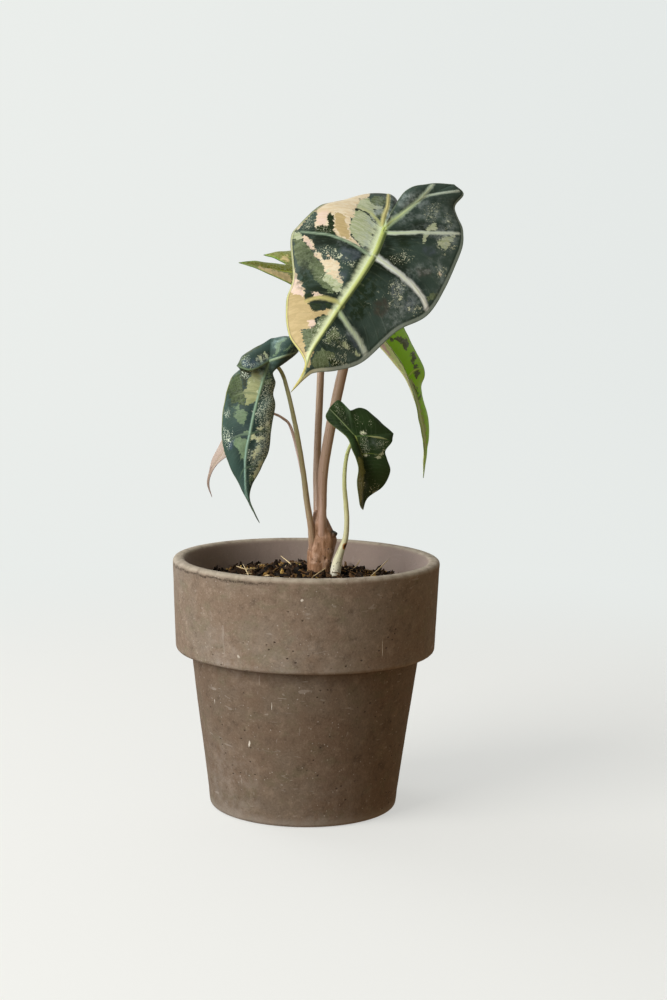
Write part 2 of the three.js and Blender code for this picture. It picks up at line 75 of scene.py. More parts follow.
# The pot's wall, beside the sizes in its settings
LIP = 2.6
MOUTH_LEAN = 0.1
COLLAR_ROUND = 2.4
COVE_ROUND = 1.6
FOOT_LEAN = 0.2
FOOT_ROUND = 1.8
INNER_NECK = (49.6, 70.0)
FLOOR_RADIUS = 40.2
FLOOR_Z = 8.0
FLOOR_ROUND = 4.0
DRAIN_RADIUS = 7.5
POT_INSET = 0.2              # how far the uneven clay stays inside the plain wall

# The soil's top swells gently towards the plant
SOIL_WALL_Z = 107.5
SOIL_MOUND_Z = 115.0
SOIL_MOUND_X = 6.0
SOIL_SLOPE = (0.1, 0.95)
SOIL_HEAP = 1.8  # crumbs heaped up at the back on the left
SOIL_GAP = 0.3
SOIL_SUNK = 0.4  # how far the bed lies below the level that its crumbs lie on

# Crumbs and straws: the least in mm, and how much more at most
CRUMB_SIZE = (0.4, 2.2)
STRAW_LENGTH = (2.5, 8)
STRAW_RADIUS = (0.12, 0.24)
STRAW_LIFT = (0.6, 1.6)
STRAW_SIDES = 5
STRAW_INSET = 7.0  # how far inside the wall the middle of a straw stays

# The crown is the swollen, scarred stem base: height, middle and half widths of its rings
CROWN_RINGS = [
    (98, 6, 0.5, 2.6, 2.6),
    (103, 6.4, 0.5, 4.6, 4.6),
    (112, 6.2, 0.5, 5.4, 5.2),
    (118, 6.2, 0.6, 5.5, 5.3),
    (124, 6.9, 0.8, 6.3, 5.7),
    (130, 8.2, 1.2, 6.2, 5.9),
    (134, 7.7, 2.0, 5.2, 6.0),
    (139, 6.3, 2.6, 4.0, 6.2),
    (144, 5.6, 3.2, 2.6, 5.0),
]
CROWN_FLUTES = 5
CROWN_FLUTE_DEPTH = 0.3
CROWN_FLUTE_TURN = 9.0
STUB = {"from": (10.6, 0.2, 129.5), "to": (13.6, -0.2, 134.6), "radius": 1.9, "dark": (3.4, 5.2)}

# Stems, from the crown or the soil up to the blade: places and half thicknesses
STEMS = {
    "big": {
        "path": [(7.6, -1, 128), (7.2, -2, 137), (7.2, -2.2, 148), (8, -3, 170), (16, -4, 213.5),
                 (26, 0, 251.5), (33, -2, 272), (34, -14, 280.5)],
        "radius": [2.4, 2.3, 2.1, 2.45, 2.4, 2.1, 1.8, 1.5],
    },
    "rear": {
        "path": [(5.6, 4.5, 128), (5.2, 6.5, 138), (4.8, 9, 148), (4.4, 13, 168), (5.5, 22, 212),
                 (5.5, 30, 236), (3.5, 38, 257.5)],
        "radius": [2.0, 1.95, 1.9, 1.8, 1.75, 1.6, 1.3],
    },
    "drooping": {
        "path": [(3.1, -0.5, 126), (2.1, -2, 136), (0.8, -3, 143.5), (-0.6, -4.5, 152), (-2.8, -8, 168),
                 (-6.1, -11.5, 186), (-10.2, -13, 203.5), (-13.5, -14, 213), (-18.2, -18.6, 217.6)],
        "radius": [2.1, 1.7, 1.5, 1.45, 1.25, 1.15, 1, 0.9, 0.85],
    },
    "pink": {
        "path": [(3, 5, 128), (1.5, 10, 141), (-2, 13, 158), (-5.5, 13.5, 173), (-9, 13, 184.5),
                 (-12.5, 12.5, 188.3), (-17, 12, 190.6), (-22.2, 10.8, 191.6)],
        "radius": [1.2, 1.0, 0.9, 0.8, 0.7, 0.65, 0.6, 0.6],
    },
    "small": {
        "path": [(12, -7.5, 100), (13.5, -8, 112), (14.6, -8.2, 120), (16.6, -9, 127),
                 (18.6, -10, 133.5), (19, -11, 142), (18.4, -11, 150), (17.6, -11.5, 158),
                 (17.6, -12, 166.5), (18.8, -13.5, 175), (22, -18, 183)],
        "radius": [1.7, 2.5, 2.4, 1.75, 1.35, 1.2, 1.15, 1.05, 0.95, 0.9, 0.8],
    },
}

# Blades: the net's stations, then how high the ribs below are and how the skin between them swells
BLADES = {
    "big": {
        "junction": (34, -14, 280.5), "sinus": (35, -13.5, 284),
        "midrib": [(31.5, -19, 274), (28.5, -23, 267.5), (21.5, -30, 256), (13.5, -36, 244.5),
                   (5.5, -40, 232), (0.5, -42, 223.5), (-3, -43, 213), (-8.5, -42, 205)],
        "right": {
            "edge": [(71.7, -6, 279.6), (69, -14, 267.2), (56, -26, 242.7), (40, -33, 233.5),
                     (24.5, -38, 219.5), (12.5, -41, 215.5), (3, -42.5, 214.5), (-1, -43, 212.5)],
            "rib": [(68, 10, 302.5), (57, 2, 297.5), (45, -7, 290)],
            "outer": [(72.5, 8, 298), (68, 2, 291)],
            "inner": [(56.5, 6, 302.5), (44, -2, 298.5)],
        },
        "left": {
            "edge": [(4.3, -4, 291.2), (-6.4, -9, 281.4), (-9.8, -14, 274.4), (-8.5, -20, 257.2),
                     (-11.3, -28, 245.8), (-10, -34, 231.5), (-3.5, -40.5, 222), (-2.5, -42.5, 216)],
            "rib": [(34, 26, 287), (36, 17, 293.5), (37, 4, 296.5)],
            "outer": [(19, 18, 291.5), (14, 4, 292.2)],
            "inner": [(41, 17, 290.5), (40.5, 3, 293)],
        },
        "rib_height": 1.2, "dome": 0.05, "bow": 0.1, "quilt": 0.7,
    },
    "drooping": {
        "junction": (-19, -20, 218), "sinus": (-18.5, -8, 228),
        "midrib": [(-21, -22.5, 211.5), (-23.5, -24, 202.5), (-26, -25, 192.5), (-27.5, -26, 184),
                   (-29, -26, 176.5), (-29.5, -25.5, 168), (-28.5, -23, 153.5), (-22.5, -20, 141)],
        "right": {
            "edge": [(-17, -21, 213), (-16, -20, 208), (-17, -20, 202.5), (-16, -21, 196.8),
                     (-17.9, -21.5, 184.5), (-18.6, -22, 176), (-22, -22, 168), (-27.5, -23, 155)],
            "rib": [(-5.5, -13, 222.5), (-12, -21, 220.5)],
            "outer": [(-10, -17, 218.5)],
            "inner": [(-9, -8, 229)],
        },
        "left": {
            "edge": [(-32.5, -15, 214), (-37, -15, 209), (-40, -16, 197.5), (-41, -18, 186.5),
                     (-40, -19, 176.5), (-36, -20, 166), (-32, -21, 159), (-28.5, -23, 152.5)],
            "rib": [(-34, -27, 216), (-26.5, -31, 214.5)],
            "outer": [(-32.5, -21, 215.5)],
            "inner": [(-29.5, -16, 221.5)],
        },
        "rib_height": 0.9, "dome": 0.08, "bow": 0.12, "quilt": 0.5,
    },
    "small": {
        "junction": (22, -18, 183), "sinus": (19.5, -16, 195),
        "midrib": [(23.5, -19.5, 179), (25, -20.5, 174.5), (26, -21, 167.5), (26, -20, 160),
                   (26, -18.5, 153.5), (26.5, -18, 148)],
        "right": {
            "edge": [(39.5, -14, 180), (36.5, -16, 176), (37.5, -17, 172), (39, -17, 166.5),
                     (36, -16, 159.5), (28.5, -17, 153.6)],
            "rib": [(40.5, -11, 184), (31, -16, 183.5)],
            "outer": [(40, -12.5, 182)],
            "inner": [(26.5, -11, 195.4)],
        },
        "left": {
            "edge": [(17.9, -20, 182.9), (20.5, -26, 177.5), (23.5, -29, 170), (23, -30, 163),
                     (24, -29, 156.5), (25, -24, 150.5)],
            "rib": [(9.5, -16, 196), (15.5, -17, 190)],
            "outer": [(8.5, -15, 190.5)],
            "inner": [(14, -12, 199.5)],
        },
        "rib_height": 0.7, "dome": 0.06, "bow": 0.12, "quilt": 0.3,
    },
    "rear": {
        "junction": (3.5, 38, 257.5), "sinus": (-11.5, 37, 262.5),
        "midrib": [(17, 36, 246), (31, 34, 228.5), (42, 34, 216), (48.5, 34, 207.5),
                   (53.5, 35, 196.5), (56, 36, 187.5), (58.5, 37, 174), (58, 36, 157.5)],
        "right": {
            "edge": [(7, 58, 269.5), (26, 60, 256.5), (41.5, 58, 243), (50, 54, 227),
                     (58.1, 48, 211), (56.5, 46, 201.5), (60.5, 45, 185.7), (60.3, 42, 173)],
            "rib": [(-24, 48, 267.5), (-9.5, 44, 265.5)],
            "outer": [(-16, 54, 269)],
            "inner": [(-18.5, 43, 266)],
        },
        "left": {
            "edge": [(0.5, 22, 248), (14.5, 17, 237.5), (32, 18, 231), (43, 22, 219),
                     (48.5, 26, 209.5), (52.5, 28, 197), (55, 30, 187), (58, 34, 172)],
            "rib": [(-35.5, 24, 263.5), (-19.5, 30, 260)],
            "outer": [(-22, 20, 259)],
            "inner": [(-26.5, 30, 264.3)],
        },
        "rib_height": 0.9, "dome": 0.06, "bow": 0.12, "quilt": 0.4,
    },
    "pink": {
        "junction": (-23, 10, 192), "sinus": (-21.5, 10, 195.5),
        "midrib": [(-27.5, 8, 188), (-34.5, 6, 181), (-42, 5, 170.5), (-47, 5, 163),
                   (-48.5, 5, 156.5), (-46.5, 4, 150)],
        "right": {
            "edge": [(-22.5, 4, 186), (-27.5, 2, 180.5), (-32.5, 1, 175), (-42.5, 3, 168),
                     (-46.5, 4.5, 162.5), (-48, 5, 156.5)],
            "rib": [(-19, 2, 195.5), (-21, 6, 194)],
            "outer": [(-19, 3, 192)],
            "inner": [(-19.5, 5, 196.5)],
        },
        "left": {
            "edge": [(-30.5, 12, 193), (-35.5, 12, 187.5), (-40.5, 10, 180.5), (-46, 7, 170),
                     (-48, 5.5, 163), (-49, 5, 156.5)],
            "rib": [(-27, 15, 199), (-25, 12, 196)],
            "outer": [(-29.5, 15, 197.5)],
            "inner": [(-25, 13, 198.5)],
        },
        "rib_height": 0.5, "dome": 0.06, "bow": 0.1, "quilt": 0.2,
    },
}
FULL_WIDTH = 12.0            # a strip at least this wide swells fully between its veins
BETWEEN_REACH = 12.0         # how far from a vein the skin between veins is told apart
CORE_FADE = 1.35             # how many half widths from its middle a vein's core ends
HALO_FADE = 1.3              # and its pale surroundings
RIDGE_FADE = 2.2             # and the ridge that it makes
GRAIN_STEP = 10.0            # the skin's grain runs this far from one station to the next
FIELD_REACH = 4.0            # how far from a patch's border its field is told apart
EDGE_SHARE = 0.6             # a blade's thickness at its edge, as a share of the rest
EDGE_ROUND = 0.6             # how far the edge is rounded outward, in half thicknesses
RIB_SHARE = 0.8              # how much of a rib's height hangs below the blade
RIM_STEPS = 90               # places on a blade's edge from one station to the next
SINUS_END = 0.25             # the inner margin ends this many stations before the sinus
SHEET_FINENESS = (6, 8)      # rows and columns of the sheet that stems and veins look up
STEM_NEAR = 12.0             # how near its junction a stem is kept below the blade


# Small helpers

def placed(points):
    """Places in millimetres from the pot's axis as metres in the frame."""
    return (np.asarray(points, float) + (AXIS_X, 0, 0)) * MM


def srgb(red, green, blue):
    """A colour given by the eye, 0 to 255 a channel, as the linear values that a shader takes."""
    shares = np.array([red, green, blue]) / 255
    linear = np.where(shares <= 0.04045, shares / 12.92, ((shares + 0.055) / 1.055) ** 2.4)
    return tuple(float(value) for value in linear)


def unit(vectors):
    """Vectors scaled to a length of one."""
    length = np.linalg.norm(vectors, axis=-1, keepdims=True)
    return vectors / np.maximum(length, 1e-9)


def smooth(value, low, high):
    """0 below low, 1 above high and a smooth rise between them."""
    share = np.clip((np.asarray(value, float) - low) / (high - low), 0, 1)
    return share * share * (3 - 2 * share)


def rough(points, size, seed=0.0):
    """Smooth noise from -1 to 1 at the points, with bumps about as wide as size."""
    shift = Vector((seed, 2 * seed, 3 * seed))
    return np.array([noise.noise(Vector(point) / size + shift) for point in np.asarray(points)])


def uneven(points, surface):
    """How far the bumps of such a surface stand out at the points, in mm."""
    return sum(height * rough(points, size, seed) for height, size, seed in UNEVEN[surface])


def turns(sides):
    """Angles evenly round a ring."""
    return np.arange(sides) / sides * 2 * np.pi


def level_ring(radius, z, sides):
    """Points of a level ring round the axis."""
    angle = turns(sides)
    return np.column_stack([radius * np.cos(angle), radius * np.sin(angle), np.full(sides, z)])


def curve_at(places, stations):
    """Points of a smooth curve through the places, counted in stations."""
    places = np.asarray(places, float)
    knots = np.vstack([2 * places[0] - places[1], places, 2 * places[-1] - places[-2]])
    stations = np.clip(np.asarray(stations, float), 0, len(places) - 1)
    first = np.minimum(stations.astype(int), len(places) - 2)
    t = (stations - first)[..., None]
    a, b, c, d = (knots[first + step] for step in range(4))
    bend = 2 * a - 5 * b + 4 * c - d
    twist = 3 * b - a - 3 * c + d
    return 0.5 * (2 * b + (c - a) * t + bend * t ** 2 + twist * t ** 3)


def make_mesh(name, points, faces, fields=None, flat=False):
    """A mesh object from places in the frame's metres, with a number or vector at each point."""
    mesh = bpy.data.meshes.new(name)
    mesh.from_pydata(np.asarray(points, float).tolist(), [], [tuple(face) for face in faces])
    mesh.polygons.foreach_set("use_smooth", [not flat] * len(mesh.polygons))
    for field, values in (fields or {}).items():
        values = np.asarray(values, np.float32)
        if values.ndim == 1:
            mesh.attributes.new(field, "FLOAT", "POINT").data.foreach_set("value", values)
        else:
            vectors = mesh.attributes.new(field, "FLOAT_VECTOR", "POINT")
            vectors.data.foreach_set("vector", values.ravel())
    mesh.update()
    piece = bpy.data.objects.new(name, mesh)
    bpy.context.scene.collection.objects.link(piece)
    return piece


def dress(piece, material, slot, *nodes):
    """Gives a piece its material, hangs it from the root and hides the packed parts that it stands in for."""
    piece.data.materials.append(material)
    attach(piece, "root")
    if nodes:
        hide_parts(*nodes)
    return piece


def eye_axes():
    """The eye's right, up and forward directions."""
    pitch, yaw, roll = (math.radians(turn) for turn in (EYE_PITCH, EYE_YAW, EYE_ROLL))
    forward = np.array([
        math.sin(yaw) * math.cos(pitch), math.cos(yaw) * math.cos(pitch), -math.sin(pitch)])
    level = np.array([math.cos(yaw), -math.sin(yaw), 0.0])
    upright = np.cross(level, forward)
    right = math.cos(roll) * level + math.sin(roll) * upright
    up = math.cos(roll) * upright - math.sin(roll) * level
    return right, up, forward


def front_view(points):
    """Where the eye sees the points on an upright plane through the pot's axis: x and z."""
    points = np.asarray(points, float)
    eye = np.array(EYE)
    share = -eye[1] / (points[:, 1] - eye[1])
    seen = eye + (points - eye) * share[:, None]
    return seen[:, [0, 2]]


# Veins of the blades. A path is on the net, as (station from the junction, column) places on the named
# strip, or as seen from the front, x and z on an upright plane through the pot's axis. Widths are half
# widths in mm at the vein's start and end
def vein(on, path, core, halo, tone, halo_tone, left=None):
    """One vein: its core, its pale surroundings, and their width on the leaf's left half if other."""
    return {
        "on": on, "path": path, "core": core, "halo": halo, "tone": tone, "halo_tone": halo_tone,
        "left": left or halo,
    }


VEINS = {
    "big": [
        # The midrib: its pale surroundings reach wider on the left half, partly a real pale band and partly
        # painted highlight on the midrib's lit left flank
        vein("right", [(0, 0), (8, 0)], (1.15, 0.35), (1.7, 0.5),
             ((196, 214, 116), (220, 226, 164)), ((216, 230, 192), (214, 222, 180)), left=(5.2, 1.2)),
        # Painted shade: a dark olive line along the shaded right flank of the raised midrib
        vein("right", [(0.25, 0.03), (3, 0.035), (6.8, 0.04)], (0.8, 0.4), (1.0, 0.4),
             ((76, 92, 52), (96, 106, 62)), ((76, 92, 52), (96, 106, 62))),
        vein("seen", [(34.4, 279.6), (36, 282.6), (41.4, 286.7), (49, 292.9), (53.1, 297.1), (57.1, 301.9)],
             (0.75, 0.25), (2.1, 1.2), ((182, 202, 122), (200, 212, 184)),
             ((166, 190, 140), (180, 196, 178))),
        vein("seen", [(51.2, 295.2), (55.2, 296.6), (60, 297.6), (69.5, 299.1)],
             (0.45, 0.3), (1.2, 0.9), ((188, 204, 176), (196, 208, 194)),
             ((164, 184, 164), (174, 188, 176))),
        vein("seen", [(34.3, 279.1), (39.5, 278.6), (50, 279.2), (60.5, 279.1), (70.3, 279)],
             (0.45, 0.3), (1.5, 1.0), ((186, 208, 156), (222, 230, 214)),
             ((198, 214, 190), (208, 220, 208))),
        vein("seen", [(28.6, 268.6), (31.9, 266.6), (37.8, 262.5), (46.3, 256.1), (52.8, 249.2), (55.7, 243)],
             (0.55, 0.3), (2.1, 1.5), ((208, 224, 188), (242, 246, 234)),
             ((224, 234, 228), (232, 238, 232))),
        vein("seen", [(12.6, 242.4), (14.6, 239.6), (17.9, 234.6), (22.3, 229.1), (25.2, 224.2),
                      (26.8, 220.4)], (0.5, 0.3), (1.4, 1.6), ((176, 198, 140), (204, 214, 200)),
             ((166, 188, 154), (194, 206, 194))),
        vein("seen", [(33.4, 282), (34, 286), (35.7, 291.2), (36.2, 297)],
             (0.6, 0.3), (1.7, 1.1), ((214, 212, 140), (222, 210, 150)),
             ((206, 202, 136), (190, 188, 138))),
        vein("seen", [(33, 282), (31.4, 284.3), (28.1, 287.7), (24.6, 289.5), (21.5, 290.3)],
             (0.3, 0.1), (1.5, 0.7), ((196, 206, 140), (196, 202, 164)),
             ((190, 200, 138), (188, 194, 156))),
        vein("seen", [(28.4, 267.6), (23.9, 270.6), (19.3, 273.3), (15.1, 275.1), (6.7, 277.6), (-5, 278.5)],
             (0.3, 0.2), (1.1, 0.8), ((158, 176, 148), (150, 168, 146)),
             ((124, 146, 122), (116, 138, 116))),
        vein("seen", [(14.9, 244), (11.4, 246.1), (4.4, 247.6), (-2, 245.8)],
             (0.4, 0.2), (1.6, 1.2), ((176, 184, 112), (196, 186, 120)),
             ((160, 164, 104), (186, 172, 116))),
    ],
    "drooping": [
        vein("right", [(0, 0), (8, 0)], (0.55, 0.3), (0.95, 0.6),
             ((150, 180, 146), (160, 196, 186)), ((112, 146, 116), (120, 160, 150))),
        vein("right", [(0, 0), (-2, 0)], (0.45, 0.25), (0.9, 0.5),
             ((166, 190, 156), (140, 160, 134)), ((120, 146, 122), (108, 128, 108))),
        vein("left", [(0, 0), (-2, 0)], (0.3, 0.2), (0.7, 0.5),
             ((128, 152, 118), (104, 124, 96)), ((90, 110, 84), (84, 104, 80))),
        vein("left", [(4, 0), (4, 0.7)], (0.2, 0.15), (0.8, 0.5),
             ((110, 134, 110), (84, 104, 86)), ((92, 116, 94), (76, 96, 80))),
        vein("left", [(2, 0), (2, 0.7)], (0.2, 0.15), (0.6, 0.4),
             ((140, 150, 104), (90, 108, 74)), ((132, 140, 98), (88, 104, 70))),
        vein("left", [(6, 0), (6, 0.7)], (0.15, 0.1), (0.5, 0.4),
             ((88, 112, 92), (70, 92, 76)), ((80, 104, 84), (66, 88, 72))),
        *(vein("right", [(station, 0), (station, 0.75)], (0.2, 0.15), (0.6, 0.4),
               ((110, 136, 112), (84, 106, 90)), ((92, 118, 96), (78, 100, 84)))
          for station in (4, 6)),
    ],
    "small": [
        vein("right", [(0, 0), (6, 0)], (0.4, 0.15), (0.7, 0.35),
             ((160, 174, 92), (116, 124, 72)), ((96, 112, 58), (74, 86, 46))),
        vein("right", [(0, 0), (-2, 0)], (0.2, 0.1), (0.5, 0.25),
             ((92, 112, 66), (62, 80, 46)), ((62, 82, 42), (50, 66, 36))),
        vein("left", [(0, 0), (-2, 0)], (0.25, 0.12), (0.5, 0.3),
             ((128, 146, 96), (108, 120, 92)), ((70, 90, 50), (60, 76, 48))),
        vein("right", [(0, 0), (0, 0.9)], (0.16, 0.1), (0.4, 0.3),
             ((84, 112, 66), (74, 98, 62)), ((64, 88, 50), (58, 80, 48))),
        vein("right", [(2, 0), (2, 0.85)], (0.16, 0.1), (0.4, 0.3),
             ((96, 112, 52), (84, 98, 50)), ((70, 86, 42), (60, 76, 40))),
    ],
    "rear": [
        vein("right", [(0, 0), (8, 0)], (0.6, 0.3), (1.3, 0.7),
             ((150, 176, 96), (168, 180, 120)), ((112, 146, 66), (132, 152, 88))),
        *(vein(half, [(0, 0), (-2, 0)], (0.4, 0.2), (0.8, 0.4),
               ((150, 162, 78), (136, 146, 70)), ((128, 138, 62), (120, 130, 58)))
          for half in ("right", "left")),
        vein("right", [(2, 0), (2, 0.9)], (0.3, 0.15), (0.8, 0.5),
             ((136, 172, 66), (120, 156, 60)), ((112, 150, 48), (104, 138, 44))),
        vein("right", [(4, 0), (4, 0.9)], (0.3, 0.15), (0.8, 0.5),
             ((150, 180, 84), (120, 156, 60)), ((116, 152, 58), (104, 138, 44))),
    ],
    "pink": [
        vein("right", [(0, 0), (6, 0)], (0.35, 0.2), (0.8, 0.5),
             ((176, 164, 128), (150, 132, 122)), ((186, 170, 142), (160, 140, 130))),
        vein("right", [(0, 0), (-2, 0)], (0.2, 0.1), (0.5, 0.3),
             ((176, 164, 128), (176, 164, 128)), ((186, 170, 142), (186, 170, 142))),
        vein("left", [(2, 0), (2, 0.9)], (0.15, 0.1), (0.5, 0.3),
             ((176, 150, 136), (186, 160, 146)), ((192, 166, 150), (196, 170, 156))),
    ],
}

# The margins of the blades, strip by strip: station from the junction, width in mm and tone,
# with one entry where they stay the same along the strip
RIMS = {
    "big": {
        "right": [(-3, 0.7, (112, 128, 112)), (-1, 1.1, (130, 144, 132)), (2, 1.7, (142, 156, 146)),
                  (5, 1.9, (150, 160, 150)), (6, 1.7, (186, 186, 160)), (8, 0.9, (198, 186, 112))],
        "right_inner": [(-3, 0.5, (96, 112, 92)), (0, 0.5, (100, 118, 98))],
        "left": [(-3, 0.5, (120, 132, 110)), (-1, 0.5, (178, 174, 140)), (0, 0.9, (108, 122, 90)),
                 (1, 0.9, (170, 176, 138)), (2, 0.9, (192, 196, 158)), (4, 0.8, (204, 206, 132)),
                 (8, 0.8, (210, 198, 112))],
        "left_inner": [(0, 0.4, (150, 160, 130))],
    },
    "drooping": {
        "right": [(-2, 0.35, (110, 128, 114)), (8, 0.4, (120, 138, 116))],
        "right_inner": [(0, 0.3, (90, 104, 90))],
        "left": [(-2, 0.35, (120, 140, 120)), (0, 0.5, (132, 140, 72)), (2, 0.5, (140, 146, 70)),
                 (4, 0.4, (104, 124, 100)), (8, 0.4, (104, 124, 100))],
        "left_inner": [(0, 0.3, (90, 104, 90))],
    },
    "small": {
        "right": [(-2, 0.3, (60, 78, 50)), (6, 0.3, (70, 86, 56))],
        "right_inner": [(0, 0.3, (70, 90, 60))],
        "left": [(-2, 0.3, (78, 92, 60)), (6, 0.35, (120, 130, 76))],
        "left_inner": [(0, 0.3, (60, 78, 50))],
    },
    "rear": {
        "right": [(-2, 0.5, (60, 84, 40)), (8, 0.5, (52, 82, 44))],
        "right_inner": [(0, 0.4, (70, 88, 44))],
        "left": [(-2, 0.4, (84, 100, 44)), (8, 0.4, (130, 160, 84))],
        "left_inner": [(0, 0.4, (80, 92, 44))],
    },
    "pink": {
        "right": [(-2, 0.25, (176, 152, 140)), (6, 0.25, (160, 140, 132))],
        "right_inner": [(0, 0.25, (176, 152, 140))],
        "left": [(-2, 0.3, (196, 170, 158)), (6, 0.3, (160, 140, 132))],
        "left_inner": [(0, 0.25, (176, 152, 140))],
    },
}

